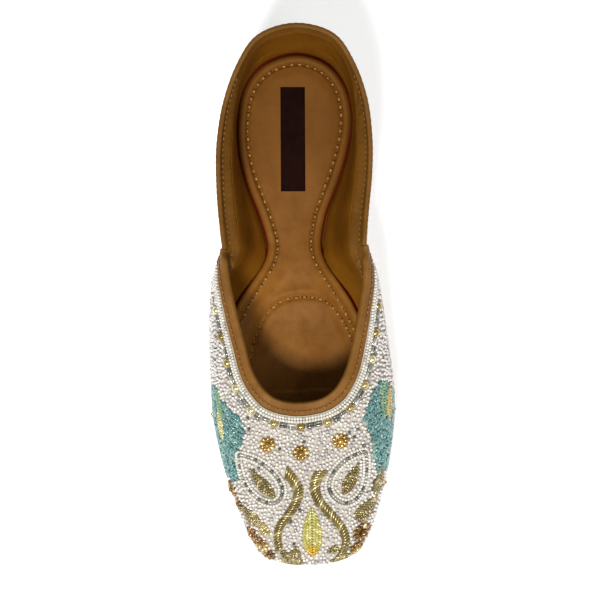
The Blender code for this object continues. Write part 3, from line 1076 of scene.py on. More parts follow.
class Pores(Effect):
    """The height of leather grain: cells with pebbled tops and fine wrinkles between."""

    title = "Pores"
    takes = (("Scale", "NodeSocketFloat", 1400.0), ("Wrinkle", "NodeSocketFloat", 0.5))
    gives = (("Height", "NodeSocketFloat"),)

    def fill(self, nodes: Nodes, given: bpy.types.bpy_prop_collection) -> dict:
        """Cells from a Voronoi texture, broken up by noise.

        Args:
            nodes: Builds nodes in the tree.
            given: The group's input sockets.

        Returns:
            The group's outputs by name.
        """
        place = nodes.add("TexCoord").outputs["Object"]
        cells = nodes.add(
            "TexVoronoi", {"feature": "DISTANCE_TO_EDGE"}, Vector=place, Scale=given["Scale"]
        )
        edge = nodes.spread(cells.outputs["Distance"], 0.0, 0.35)
        fold = nodes.noise(nodes.math("MULTIPLY", given["Scale"], 0.16), 5.0, 0.65, 0.6)
        rough = nodes.math("MULTIPLY", fold, given["Wrinkle"])
        return {"Height": nodes.math("ADD", nodes.math("MULTIPLY", edge, 0.5), rough)}


class Weave(Effect):
    """The height of a plain weave, with threads along and across."""

    title = "Weave"
    takes = (("Scale", "NodeSocketFloat", 1500.0),)
    gives = (("Height", "NodeSocketFloat"), ("Thread", "NodeSocketFloat"))

    def fill(self, nodes: Nodes, given: bpy.types.bpy_prop_collection) -> dict:
        """Two sine waves that take turns on top.

        Args:
            nodes: Builds nodes in the tree.
            given: The group's input sockets.

        Returns:
            The group's outputs by name.
        """
        place = nodes.add("SeparateXYZ", Vector=nodes.add("TexCoord").outputs["Object"])
        along = nodes.math("MULTIPLY", place.outputs["Y"], given["Scale"])
        side = nodes.math("ADD", place.outputs["X"], place.outputs["Z"])
        across = nodes.math("MULTIPLY", side, given["Scale"])
        product = nodes.math("MULTIPLY", nodes.math("SINE", along), nodes.math("SINE", across))
        height = nodes.math("ADD", nodes.math("MULTIPLY", product, 0.5), 0.5)
        return {"Height": height, "Thread": nodes.math("ABSOLUTE", product)}


class Hatch(Effect):
    """The height of moulded tread: two sets of fine slanting ribs, with a smooth waist."""

    title = "Hatch"
    takes = (
        ("Pitch", "NodeSocketFloat", 1.4 * MM),
        ("Heel End", "NodeSocketFloat", 0.05),
        ("Forefoot Start", "NodeSocketFloat", 0.0),
        ("Under", "NodeSocketFloat", 0.0115),
    )
    gives = (("Height", "NodeSocketFloat"), ("Groove", "NodeSocketFloat"))

    def fill(self, nodes: Nodes, given: bpy.types.bpy_prop_collection) -> dict:
        """Ribs where a point lies under the sole, but not at its waist.

        Args:
            nodes: Builds nodes in the tree.
            given: The group's input sockets.

        Returns:
            The group's outputs by name.
        """
        place = nodes.add("SeparateXYZ", Vector=nodes.add("TexCoord").outputs["Object"])
        x, y, z = (place.outputs[k] for k in "XYZ")
        turn = nodes.math("DIVIDE", 2 * math.pi, given["Pitch"])
        ribs = []
        for way in ("ADD", "SUBTRACT"):
            slant = nodes.math(way, nodes.math("MULTIPLY", y, 0.75), x)
            wave = nodes.math("SINE", nodes.math("MULTIPLY", slant, turn))
            ribs.append(nodes.spread(wave, -0.5, 0.3))
        field_height = nodes.math("MINIMUM", *ribs)
        heel = nodes.spread(y, given["Heel End"], nodes.math("ADD", given["Heel End"], 2 * MM))
        start = nodes.math("SUBTRACT", given["Forefoot Start"], 3 * MM)
        fore = nodes.math("SUBTRACT", 1.0, nodes.spread(y, start, given["Forefoot Start"]))
        facing = nodes.add("SeparateXYZ", Vector=nodes.add("NewGeometry").outputs["Normal"])
        down = nodes.math("LESS_THAN", facing.outputs["Z"], -0.7)
        low = nodes.math("MULTIPLY", nodes.math("LESS_THAN", z, given["Under"]), down)
        where = nodes.math("MULTIPLY", nodes.math("MAXIMUM", heel, fore), low)
        flat = nodes.math("SUBTRACT", 1.0, where)
        height = nodes.math("MAXIMUM", field_height, flat)
        return {"Height": height, "Groove": nodes.math("SUBTRACT", 1.0, height)}


class Tints(Effect):
    """One of three colours for each joined bead or thread, with small steps between them."""

    title = "Tints"
    takes = (
        ("First", "NodeSocketColor", (0.8, 0.8, 0.8)),
        ("Second", "NodeSocketColor", (0.6, 0.6, 0.6)),
        ("Third", "NodeSocketColor", (0.4, 0.4, 0.4)),
        ("Rare", "NodeSocketFloat", 0.8),
    )
    gives = (("Colour", "NodeSocketColor"), ("Chance", "NodeSocketFloat"))

    def fill(self, nodes: Nodes, given: bpy.types.bpy_prop_collection) -> dict:
        """The colour by the mesh island's own random number.

        Args:
            nodes: Builds nodes in the tree.
            given: The group's input sockets.

        Returns:
            The group's outputs by name.
        """
        chance = nodes.add("NewGeometry").outputs["Random Per Island"]
        early = nodes.spread(chance, 0.0, given["Rare"])
        late = nodes.math("GREATER_THAN", chance, given["Rare"])
        base = nodes.mix(early, given["First"], given["Second"])
        return {"Colour": nodes.mix(late, base, given["Third"]), "Chance": chance}


class Soil(Effect):
    """Dirt that gathers low on the shoe and in patches."""

    title = "Soil"
    takes = (
        ("Colour", "NodeSocketColor", (0.5, 0.5, 0.5)),
        ("Dirt", "NodeSocketColor", (0.1, 0.08, 0.06)),
        ("Amount", "NodeSocketFloat", 0.3),
        ("Level", "NodeSocketFloat", 0.012),
    )
    gives = (("Colour", "NodeSocketColor"), ("Mask", "NodeSocketFloat"))

    def fill(self, nodes: Nodes, given: bpy.types.bpy_prop_collection) -> dict:
        """Noise, stronger under Level.

        Args:
            nodes: Builds nodes in the tree.
            given: The group's input sockets.

        Returns:
            The group's outputs by name.
        """
        place = nodes.add("SeparateXYZ", Vector=nodes.add("TexCoord").outputs["Object"])
        height = nodes.math("DIVIDE", place.outputs["Z"], given["Level"])
        low = nodes.math("SUBTRACT", 1.4, height, clamp=True)
        patch = nodes.spread(nodes.noise(160.0, 5.0, 0.65), 0.42, 0.75)
        both = nodes.math("MULTIPLY", nodes.math("ADD", nodes.math("MULTIPLY", low, 0.6), 0.4), patch)
        mask = nodes.math("MULTIPLY", both, given["Amount"], clamp=True)
        return {"Colour": nodes.mix(mask, given["Colour"], given["Dirt"]), "Mask": mask}


@dataclass(frozen=True)
class Finish:
    """What every finish has: a name and two shades of its colour."""

    name: str
    light: tuple[float, float, float]
    dark: tuple[float, float, float]
    roughness: float = 0.5

    def material(self) -> bpy.types.Material:
        """The finish as a material, built at its first use.

        Returns:
            The material.
        """
        found = bpy.data.materials.get(self.name)
        if found:
            return found
        made = bpy.data.materials.new(self.name)
        made.use_nodes = True
        made.diffuse_color = (*self.light, 1.0)
        shader = made.node_tree.nodes["Principled BSDF"]
        shader.inputs["Roughness"].default_value = self.roughness
        self.shade(Nodes(made.node_tree), shader)
        return made

    def shade(self, nodes: Nodes, shader: bpy.types.Node) -> None:
        """Adds the nodes that feed the shader."""
        raise NotImplementedError

    def relief(
        self, nodes: Nodes, shader: bpy.types.Node, height: bpy.types.NodeSocket, depth: float
    ) -> None:
        """Feeds a height into the shader's normal."""
        bump = nodes.add("Bump", Height=height, Distance=depth)
        nodes.put(shader.inputs["Normal"], bump.outputs[0])


@dataclass(frozen=True)
class Leather(Finish):
    """Smooth or grained leather, with clouded colour, dirt, and painted shade towards the heel where
    asked.
    """

    cloud: float = 45.0
    freckle: float = 0.25
    grain: float = 1500.0
    grain_depth: float = 0.08 * MM
    wrinkle: float = 0.6
    metallic: float = 0.0
    shine: float = 0.1
    soil: float = 0.25
    # Colour of the dirt, and of the painted shade towards the heel.
    dirt_and_shade: tuple[float, float, float] = (0.1, 0.06, 0.03)
    # How strongly painted shade darkens the colour towards the heel.
    painted_heel_shade: float = 0.0

    def shade(self, nodes: Nodes, shader: bpy.types.Node) -> None:
        """Clouded colour with soil, painted shade towards the heel where asked, grain, and gloss that
        the grain breaks up.

        Args:
            nodes: Builds nodes in the tree.
            shader: The material's main shader.
        """
        mottle = Mottle().use(
            nodes, Light=self.light, Dark=self.dark, Scale=self.cloud, Freckle=self.freckle
        )
        soil = Soil().use(
            nodes, Colour=mottle["Colour"], Dirt=self.dirt_and_shade, Amount=self.soil, Level=18 * MM
        )
        colour = soil["Colour"]
        # Painted shade: the colour darkens towards the heel (+Y), into the dirt-and-shade colour.
        if self.painted_heel_shade:
            place = nodes.add("SeparateXYZ", Vector=nodes.add("TexCoord").outputs["Object"])
            heel = nodes.add("MapRange")
            nodes.put(heel.inputs[0], place.outputs["Y"])
            for socket, value in zip(heel.inputs[1:5], (22 * MM, 78 * MM, 0.0, self.painted_heel_shade)):
                socket.default_value = value
            colour = nodes.mix(heel.outputs[0], colour, self.dirt_and_shade)
        nodes.put(shader.inputs["Base Color"], colour)
        shader.inputs["Metallic"].default_value = self.metallic
        shader.inputs["Specular IOR Level"].default_value = self.shine
        gloss = nodes.add("MapRange")
        nodes.put(gloss.inputs[0], mottle["Cloud"])
        gloss.inputs[3].default_value = self.roughness - 0.06
        gloss.inputs[4].default_value = self.roughness + 0.1
        nodes.put(shader.inputs["Roughness"], gloss.outputs[0])
        pores = Pores().use(nodes, Scale=self.grain, Wrinkle=self.wrinkle)
        self.relief(nodes, shader, pores["Height"], self.grain_depth)


@dataclass(frozen=True)
class Cloth(Finish):
    """Woven cloth or satin."""

    threads: float = 5200.0
    depth: float = 0.06 * MM
    soil: float = 0.3
    sheen: float = 0.2
    shine: float = 0.3

    def shade(self, nodes: Nodes, shader: bpy.types.Node) -> None:
        """Clouded colour, with painted shade darkening it between the threads.

        Args:
            nodes: Builds nodes in the tree.
            shader: The material's main shader.
        """
        mottle = Mottle().use(nodes, Light=self.light, Dark=self.dark, Scale=90.0, Freckle=0.4)
        weave = Weave().use(nodes, Scale=self.threads)
        # Painted shade: the colour darkens between the threads of the weave.
        gap = nodes.math("SUBTRACT", 1.0, weave["Thread"])
        shaded = nodes.mix(nodes.math("MULTIPLY", gap, 0.35), mottle["Colour"], self.dark)
        soil = Soil().use(
            nodes, Colour=shaded, Dirt=(0.1, 0.07, 0.04), Amount=self.soil, Level=14 * MM
        )
        nodes.put(shader.inputs["Base Color"], soil["Colour"])
        shader.inputs["Sheen Weight"].default_value = self.sheen
        shader.inputs["Specular IOR Level"].default_value = self.shine
        self.relief(nodes, shader, weave["Height"], self.depth)


@dataclass(frozen=True)
class Rubber(Finish):
    """Moulded rubber, with tread where its pitch is over 0."""

    pitch: float = 0.0
    soil: float = 0.5

    def shade(self, nodes: Nodes, shader: bpy.types.Node) -> None:
        """Clouded colour, scuffed lows, painted shade in the tread's grooves and a fine pebble.

        Args:
            nodes: Builds nodes in the tree.
            shader: The material's main shader.
        """
        mottle = Mottle().use(nodes, Light=self.light, Dark=self.dark, Scale=70.0, Freckle=0.5)
        soil = Soil().use(
            nodes, Colour=mottle["Colour"], Dirt=(0.05, 0.035, 0.025), Amount=self.soil,
            Level=8 * MM,
        )
        colour = soil["Colour"]
        pebble = nodes.noise(2600.0, 3.0)
        if self.pitch > 0:
            tread = Hatch().use(
                nodes, Pitch=self.pitch, Heel_End=SOLE_HEEL_END, Forefoot_Start=SOLE_FORE_START
            )
            # Painted shade: the tread's grooves are darkened towards near black.
            shade = nodes.math("MULTIPLY", tread["Groove"], 0.55)
            colour = nodes.mix(shade, colour, (0.035, 0.02, 0.012))
            height = nodes.math("ADD", nodes.math("MULTIPLY", pebble, 0.12), tread["Height"])
            self.relief(nodes, shader, height, 0.35 * MM)
        else:
            self.relief(nodes, shader, pebble, 0.05 * MM)
        nodes.put(shader.inputs["Base Color"], colour)


@dataclass(frozen=True)
class Bead(Finish):
    """Glass, pearl or metal beads, each with its own tint."""

    third: tuple[float, float, float] = (0.5, 0.5, 0.5)
    rare: float = 0.8
    metallic: float = 0.0
    coat: float = 0.6

    def shade(self, nodes: Nodes, shader: bpy.types.Node) -> None:
        """A tint by bead, and a slightly uneven gloss.

        Args:
            nodes: Builds nodes in the tree.
            shader: The material's main shader.
        """
        tints = Tints().use(nodes, First=self.light, Second=self.dark, Third=self.third, Rare=self.rare)
        nodes.put(shader.inputs["Base Color"], tints["Colour"])
        shader.inputs["Metallic"].default_value = self.metallic
        shader.inputs["Coat Weight"].default_value = self.coat
        shader.inputs["Coat Roughness"].default_value = 0.08
        gloss = nodes.add("MapRange")
        nodes.put(gloss.inputs[0], tints["Chance"])
        gloss.inputs[3].default_value = self.roughness * 0.7
        gloss.inputs[4].default_value = self.roughness * 1.4
        nodes.put(shader.inputs["Roughness"], gloss.outputs[0])
        self.relief(nodes, shader, nodes.noise(1900.0, 2.0), 0.05 * MM)


@dataclass(frozen=True)
class Thread(Finish):
    """Waxed sewing thread."""

    def shade(self, nodes: Nodes, shader: bpy.types.Node) -> None:
        """A tint by stitch, and the twist of the yarn.

        Args:
            nodes: Builds nodes in the tree.
            shader: The material's main shader.
        """
        tints = Tints().use(nodes, First=self.light, Second=self.dark, Third=self.dark, Rare=0.9)
        nodes.put(shader.inputs["Base Color"], tints["Colour"])
        shader.inputs["Sheen Weight"].default_value = 0.05
        self.relief(nodes, shader, nodes.noise(5200.0, 2.0), 0.08 * MM)


@dataclass(frozen=True)
class Backdrop(Finish):
    """The studio's pale floor."""

    def shade(self, nodes: Nodes, shader: bpy.types.Node) -> None:
        """A very faint cloud over near white.

        Args:
            nodes: Builds nodes in the tree.
            shader: The material's main shader.
        """
        mottle = Mottle().use(nodes, Light=self.light, Dark=self.dark, Scale=1.5, Freckle=0.1)
        nodes.put(shader.inputs["Base Color"], mottle["Colour"])
        shader.inputs["Emission Color"].default_value = (1.0, 1.0, 1.0, 1.0)
        shader.inputs["Emission Strength"].default_value = 0.5


SOLE_HEEL_END = 52 * MM
SOLE_FORE_START = 8 * MM
# The insole is painted darker towards the heel: painted shade, not wear.
TAN_INSOLE = Leather(
    "tan_insole_leather", (0.285, 0.113, 0.017), (0.200, 0.075, 0.009), 0.5,
    cloud=38.0, grain=1300.0, soil=0.3, dirt_and_shade=(0.11, 0.040, 0.005), painted_heel_shade=0.5,
)
TAN_LINING = Leather(
    "tan_lining_leather", (0.205, 0.077, 0.005), (0.14, 0.049, 0.0025), 0.5,
    cloud=42.0, grain=1500.0, soil=0.2, dirt_and_shade=(0.10, 0.035, 0.004),
)
TAN_BINDING = Leather(
    "tan_binding_leather", (0.235, 0.104, 0.022), (0.180, 0.076, 0.013), 0.46,
    cloud=80.0, grain=1700.0, soil=0.2, dirt_and_shade=(0.11, 0.045, 0.010),
)
TAN_TOPLINE = Leather(
    "tan_topline_leather", (0.185, 0.078, 0.012), (0.14, 0.057, 0.007), 0.46,
    cloud=80.0, grain=1700.0, soil=0.2, dirt_and_shade=(0.09, 0.037, 0.007),
)
SILVER_LEATHER = Leather(
    "silver_leather_outside", (0.60, 0.60, 0.55), (0.44, 0.43, 0.38), 0.36,
    cloud=34.0, grain=1100.0, grain_depth=0.06 * MM, metallic=0.45, shine=0.5, soil=0.35,
    dirt_and_shade=(0.25, 0.22, 0.17),
)
CREAM_CLOTH = Cloth("cream_lasting_cloth", (0.62, 0.56, 0.45), (0.42, 0.36, 0.27), 0.75)
BACKING_CLOTH = Cloth("white_backing_cloth", (0.62, 0.57, 0.49), (0.45, 0.40, 0.33), 0.8, soil=0.1)
LABEL_SATIN = Cloth(
    "dark_label_satin", (0.016, 0.0035, 0.002), (0.007, 0.0015, 0.001), 0.6,
    threads=9000.0, depth=0.03 * MM, soil=0.05, sheen=0.0, shine=0.03,
)
BROWN_RUBBER = Rubber(
    "brown_moulded_rubber", (0.18, 0.10, 0.055), (0.12, 0.064, 0.034), 0.55, pitch=1.5 * MM
)
CREAM_RUBBER = Rubber("cream_edge_rubber", (0.60, 0.54, 0.43), (0.46, 0.40, 0.30), 0.5)
SEWING_THREAD = Thread("light_sewing_thread", (0.46, 0.25, 0.060), (0.33, 0.17, 0.034), 0.6)
TOP_THREAD = Thread("topline_thread", (0.25, 0.130, 0.035), (0.18, 0.092, 0.022), 0.6)
DARK_THREAD = Thread("tan_sewing_thread", (0.36, 0.165, 0.042), (0.25, 0.105, 0.024), 0.6)
SEAM_SHADE = Leather(
    "dark_seam_edge", (0.20, 0.010, 0.007), (0.13, 0.006, 0.005), 0.7, grain=1700.0,
    shine=0.02, soil=0.0,
)
HOLE_SHADE = Leather(
    "needle_hole_shade", (0.060, 0.012, 0.005), (0.036, 0.007, 0.003), 0.7, grain=1700.0,
    shine=0.02, soil=0.0,
)
# A darker copy of the lining for inside the toe box: painted shade standing in for the shade under the
# vamp.
VAMP_LINING_SHADE = Leather(
    "vamp_lining_painted_shade", (0.12, 0.042, 0.008), (0.08, 0.028, 0.005), 0.6, cloud=42.0, soil=0.2,
    shine=0.05, dirt_and_shade=(0.06, 0.02, 0.004),
)
PEARL = Bead(
    "pearl_seed_glass", (0.83, 0.79, 0.73), (0.69, 0.65, 0.61), 0.16,
    third=(0.48, 0.45, 0.47), rare=0.9,
)
PEARL_ROW = Bead(
    "white_row_pearls", (0.80, 0.77, 0.68), (0.68, 0.64, 0.55), 0.16,
    third=(0.50, 0.46, 0.40), rare=0.9,
)
CLEAR = Bead(
    "silver_lined_glass", (0.70, 0.68, 0.60), (0.40, 0.39, 0.34), 0.14,
    third=(0.10, 0.095, 0.08), rare=0.62, metallic=0.4,
)
SMOKE = Bead(
    "smoky_bugle_glass", (0.36, 0.35, 0.31), (0.13, 0.125, 0.11), 0.14,
    third=(0.74, 0.71, 0.62), rare=0.76, metallic=0.45,
)
GOLD = Bead(
    "gold_glass", (0.34, 0.26, 0.085), (0.18, 0.13, 0.036), 0.2,
    third=(0.58, 0.48, 0.24), rare=0.86, metallic=0.5,
)
BRIGHT_GOLD = Bead(
    "bright_gold_glass", (0.54, 0.33, 0.075), (0.33, 0.185, 0.03), 0.18,
    third=(0.80, 0.66, 0.34), rare=0.82, metallic=0.55,
)
PALE_GOLD = Bead(
    "pale_gold_stones", (0.66, 0.51, 0.20), (0.38, 0.26, 0.07), 0.12,
    third=(0.84, 0.76, 0.46), rare=0.7, metallic=0.7,
)
COPPER = Bead(
    "copper_glass", (0.38, 0.215, 0.075), (0.20, 0.11, 0.032), 0.2,
    third=(0.66, 0.50, 0.22), rare=0.76, metallic=0.65,
)
TURQUOISE = Bead(
    "turquoise_glass", (0.125, 0.305, 0.285), (0.065, 0.195, 0.19), 0.18,
    third=(0.24, 0.42, 0.35), rare=0.86, metallic=0.1, coat=0.4,
)
SEA_GREEN = Bead(
    "green_glass", (0.19, 0.36, 0.17), (0.11, 0.26, 0.13), 0.18,
    third=(0.36, 0.48, 0.24), rare=0.82, metallic=0.1, coat=0.4,
)
YELLOW = Bead(
    "yellow_glass", (0.62, 0.56, 0.16), (0.44, 0.38, 0.07), 0.16,
    third=(0.74, 0.72, 0.38), rare=0.8, metallic=0.1,
)
AMBER = Bead(
    "amber_glass", (0.62, 0.40, 0.02), (0.46, 0.26, 0.01), 0.16,
    third=(0.70, 0.52, 0.08), rare=0.85, metallic=0.1,
)
GOLD_PRINT = Bead(
    "gold_printed_mark", (0.55, 0.38, 0.14), (0.50, 0.34, 0.12), 0.35, metallic=0.7, coat=0.0
)
FLOOR = Backdrop("pale_floor", (0.93, 0.93, 0.93), (0.91, 0.91, 0.91), 0.9)


class Surface:
    """A face to set things on, from a grid of points laid out column by column."""

    def __init__(self, grid: np.ndarray) -> None:
        """Lays faces over the grid."""
        columns, rows = grid.shape[:2]
        quads = grid_quads(columns, rows, False, False)
        points = [Vector(p) for p in grid.reshape(-1, 3)]
        self.tree = BVHTree.FromPolygons(points, quads.tolist())
        upward = np.cross(grid[1:, :-1] - grid[:-1, :-1], grid[:-1, 1:] - grid[:-1, :-1])
        self.turn = 1.0 if float(upward[..., 2].sum()) > 0 else -1.0

    def hit(self, start: np.ndarray, way: np.ndarray) -> tuple[np.ndarray, np.ndarray] | None:
        """The first place that a ray meets, with the way out of the face there.

        Args:
            start: Where the ray starts.
            way: The ray's direction.

        Returns:
            The place and the way out, or None where it misses.
        """
        place, normal, _, _ = self.tree.ray_cast(Vector(start), Vector(way))
        if place is None:
            return None
        out = np.array(normal)
        return np.array(place), out if out @ way < 0 else -out

    def nearest(self, point: np.ndarray) -> tuple[np.ndarray, np.ndarray]:
        """The nearest place of the face, with the way out of it."""
        place, normal, _, _ = self.tree.find_nearest(Vector(point))
        return np.array(place), self.turn * np.array(normal)


@dataclass(frozen=True)
class PhotoView:
    """The view from above that the charts of seams and beads are drawn in.

    A chart's unit is one step of a 600 by 600 picture. The eye stands over the shoe's middle.
    """

    steps_per_metre: float = 1354.0
    middle: tuple[float, float] = (243.8, 308.5)
    axis: tuple[float, float] = (245.0, 305.0)
    eye_height: float = 1.0
    roll: float = math.radians(1.5)

    def floor_point(self, u: float, v: float) -> np.ndarray:
        """The point of the floor that a chart place lies over.

        Args:
            u: Place across the chart.
            v: Place down the chart.

        Returns:
            The point.
        """
        right = (u - self.middle[0]) / self.steps_per_metre
        down = (v - self.middle[1]) / self.steps_per_metre
        c, s = math.cos(self.roll), math.sin(self.roll)
        return np.array([right * c - down * s, -(right * s + down * c), 0.0])

    def eye(self) -> np.ndarray:
        """Where the eye is."""
        return self.floor_point(*self.axis) + np.array([0.0, 0.0, self.eye_height])

    def place(self, surface: Surface, u: float, v: float) -> tuple[np.ndarray, np.ndarray]:
        """The place of a surface that a chart place shows, or the nearest to its line of sight.

        Args:
            surface: The insole's top face.
            u: Place across the chart.
            v: Place down the chart.

        Returns:
            The place and the way out.
        """
        eye = self.eye()
        way = unit(self.floor_point(u, v) - eye)
        found = surface.hit(eye, way)
        if found is not None:
            return found
        height = 22 * MM
        return surface.nearest(eye + way * (self.eye_height - height) / -way[2])

    def path(
        self, surface: Surface, chart: list[tuple[float, float]], closed: bool = False
    ) -> tuple[np.ndarray, np.ndarray]:
        """A smooth line through chart places, laid on a surface, with the ways out of it."""
        fine = smooth_path(np.array(chart, dtype=float), 8, closed)
        found = [self.place(surface, u, v) for u, v in fine]
        return np.array([p for p, _ in found]), np.array([n for _, n in found])

    def seen_at(self, points: np.ndarray) -> np.ndarray:
        """Chart places of points in space.

        Args:
            points: Points in space.

        Returns:
            One chart place for each point.
        """
        eye = self.eye()
        way = points - eye
        on_floor = eye + way * (self.eye_height / -way[:, 2:3])
        c, s = math.cos(self.roll), math.sin(self.roll)
        right = on_floor[:, 0] * c - on_floor[:, 1] * s
        down = -on_floor[:, 1] * c - on_floor[:, 0] * s
        scale = self.steps_per_metre
        return np.stack([right * scale + self.middle[0], down * scale + self.middle[1]], 1)


@dataclass
class Piece:
    """Something made here, with its slot, the model's parts that it replaces and a fill share."""

    thing: bpy.types.Object
    slot: str
    replaces: tuple[str, ...] = ()
    fill: float = 0.0

    def register(self) -> None:
        """Hands the piece to the frame and reports it."""
        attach(self.thing, BODY)
        if self.replaces:
            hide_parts(*self.replaces)
        LOG.info("%s: %d triangles", self.thing.name, tri_count(self.thing))


def dress(thing: bpy.types.Object, *finishes: Finish) -> None:
    """Gives an object its finishes, the first one everywhere until faces say otherwise."""
    for finish in finishes:
        thing.data.materials.append(finish.material())


def column_turns(starts: np.ndarray, ends: np.ndarray, shares: np.ndarray) -> np.ndarray:
    """Turns of a grid whose rows run from starts to ends."""
    return starts[None, :] + (ends - starts)[None, :] * shares[:, None]


def two_faced(outer: np.ndarray, inner: np.ndarray) -> np.ndarray:
    """Cross-section loops that go up the outer face and down the inner one."""
    return np.concatenate([outer, inner[:, ::-1]], axis=1)


@dataclass
class SubAssembly:
    """A group of pieces that a maker would sew or mould as one job."""

    form: Form
    pieces: list[Piece] = field(default_factory=list)

    @property
    def size(self) -> Sizes:
        """The shoe's sizes."""
        return self.form.size

    def keep(
        self, thing: bpy.types.Object, slot: str, *replaces: str, fill: float = 0.0
    ) -> None:
        """Adds a finished object to the group."""
        self.pieces.append(Piece(thing, slot, replaces, fill))

    def build(self) -> None:
        """Makes the pieces."""
        raise NotImplementedError


@dataclass
class Bottom(SubAssembly):
    """The moulded rubber sole and the cream edge over it."""

    across: int = 30
    ring_radius: float = 5.6 * MM
    ring_along: float = 99 * MM
    mark_width: float = 1.0 * MM

    def outline(self, turns: np.ndarray, reach: float) -> np.ndarray:
        """The sole's outline, moved out by reach."""
        return self.form.rail(turns, "sole") + self.form.rail_normal(turns, "sole") * reach

    def turn_at(self, along: float, inner: bool) -> float:
        """The turn at which the sole's outline is as far along as asked.

        Args:
            along: Distance from the back of the shoe.
            inner: Whether it is on the inner side.

        Returns:
            The turn.
        """
        low, high = 0.5, 16.5
        for _ in range(30):
            middle = (low + high) / 2
            turn = np.array([middle if inner else LOOP_ROWS - middle])
            ahead = float(self.form.along_of(self.form.rail(turn, "sole")[0, 1])) > along
            low, high = (low, middle) if ahead else (middle, high)
        return low

    def plate(
        self, name: str, inner_turns: np.ndarray, outer_turns: np.ndarray,
        sides: list[list[tuple[float, Callable[[np.ndarray], np.ndarray]]]],
    ) -> bpy.types.Object:
        """A plate under or over the rubber's top face.

        Args:
            name: The object's name.
            inner_turns: Each station's turn on the inner side.
            outer_turns: Each station's turn on the outer side.
            sides: For each station, pairs of reach and height from its bottom edge to its top.

        Returns:
            The object.
        """
        sections = []
        shares = (np.arange(1, self.across) / self.across)[:, None]
        for inner, outer, side in zip(inner_turns, outer_turns, sides):
            edges = []
            for turn in (outer, inner):
                points = []
                for reach, height in side:
                    plan = self.outline(np.array([turn]), reach)[0]
                    level = float(height(self.form.along_of(plan[1])))
                    points.append((plan[0], plan[1], level))
                edges.append(np.array(points))
            top = edges[0][-1] + (edges[1][-1] - edges[0][-1]) * shares
            top[:, 2] = side[-1][1](self.form.along_of(top[:, 1]))
            low = edges[1][0] + (edges[0][0] - edges[1][0]) * shares
            low[:, 2] = side[0][1](self.form.along_of(low[:, 1]))
            sections.append(np.concatenate([edges[0], top, edges[1][::-1], low]))
        grid = np.array(sections)
        made = new_mesh(name, grid.reshape(-1, 3), [grid_quads(*grid.shape[:2], False, True)])
        return welded(made)

    def build(self) -> None:
        """Makes the rubber sole, the cream edge and the size mark."""
        self.make_rubber()
        self.make_edge()
        self.make_size_mark()

    def stations(self) -> tuple[np.ndarray, np.ndarray, int]:
        """Inner and outer turns of the sole's stations, and how many lie behind the breast.

        Returns:
            Both sides' turns, and the count behind the breast.
        """
        inner = self.turn_at(self.size.breast_inner, True)
        outer = self.turn_at(self.size.breast_outer, False)
        middle = (inner + outer) / 2
        heel = np.linspace(0, middle, 60)
        fore = np.linspace(middle, LAST_ROW, 170)
        shares = np.concatenate([heel, fore])
        knots = [0.0, middle, float(LAST_ROW)]
        return (
            np.interp(shares, knots, [0.0, inner, LAST_ROW]),
            LOOP_ROWS - np.interp(shares, knots, [0.0, outer, LAST_ROW]),
            len(heel),
        )

    def make_rubber(self) -> None:
        """The brown sole: a sheet with rounded lower corners and a heel block under its back."""
        size = self.size
        form = self.form
        corner = size.sole_chamfer
        inset = 0.4 * MM

        def under(along: np.ndarray) -> np.ndarray:
            """Height of the rubber's lower face."""
            return form.sole_top(along) - size.sole_sheet

        def over_sheet(part: float) -> Callable[[np.ndarray], np.ndarray]:
            """A height over the rubber's lower face."""
            return lambda along: under(along) + part

        def over_floor(part: float) -> Callable[[np.ndarray], np.ndarray]:
            """A height over the floor."""
            return lambda along: 0 * along + part

        heel = [
            (-inset - corner, over_floor(0.0)),
            (-inset - corner * 0.3, over_floor(corner * 0.3)),
            (-inset, over_floor(corner)),
            (-inset, over_sheet(-0.1 * MM)),
            (-inset * 1.6, over_sheet(0.25 * MM)),
            (0.0, over_sheet(0.5 * MM)),
            (0.0, form.sole_top),
        ]
        fore = [
            (-corner, over_sheet(0.0)),
            (-corner * 0.3, over_sheet(corner * 0.3)),
            (0.0, over_sheet(corner)),
            (0.0, over_sheet(corner * 1.2)),
            (0.0, over_sheet(corner * 1.4)),
            (0.0, over_sheet(corner * 1.6)),
            (0.0, form.sole_top),
        ]
        inner, outer, heel_count = self.stations()
        sides = [heel if i < heel_count else fore for i in range(len(inner))]
        made = self.plate("outsole_rubber", inner, outer, sides)
        dress(made, BROWN_RUBBER)
        self.keep(made, "brown_rubber", "outsole")

    def make_edge(self) -> None:
        """The cream edge, rounded, with a fine groove round its middle."""
        size = self.size
        form = self.form
        thick = size.rand_thickness
        reach = size.rand_reach

        def over(part: float) -> Callable[[np.ndarray], np.ndarray]:
            """A height in the edge plate, by its share."""
            return lambda along: form.sole_top(along) + size.gap + thick * part

        side = [
            (reach - 0.9 * MM, over(0.0)),
            (reach - 0.25 * MM, over(0.08)),
            (reach, over(0.26)),
            (reach, over(0.42)),
            (reach - 0.22 * MM, over(0.5)),
            (reach, over(0.58)),
            (reach, over(0.76)),
            (reach - 0.25 * MM, over(0.93)),
            (reach - 0.9 * MM, over(1.0)),
        ]
        turns = np.linspace(0, LAST_ROW, 220)
        made = self.plate("cream_edge", turns, LOOP_ROWS - turns, [side] * len(turns))
        dress(made, CREAM_RUBBER)
        self.keep(made, "cream_rubber", "rand")

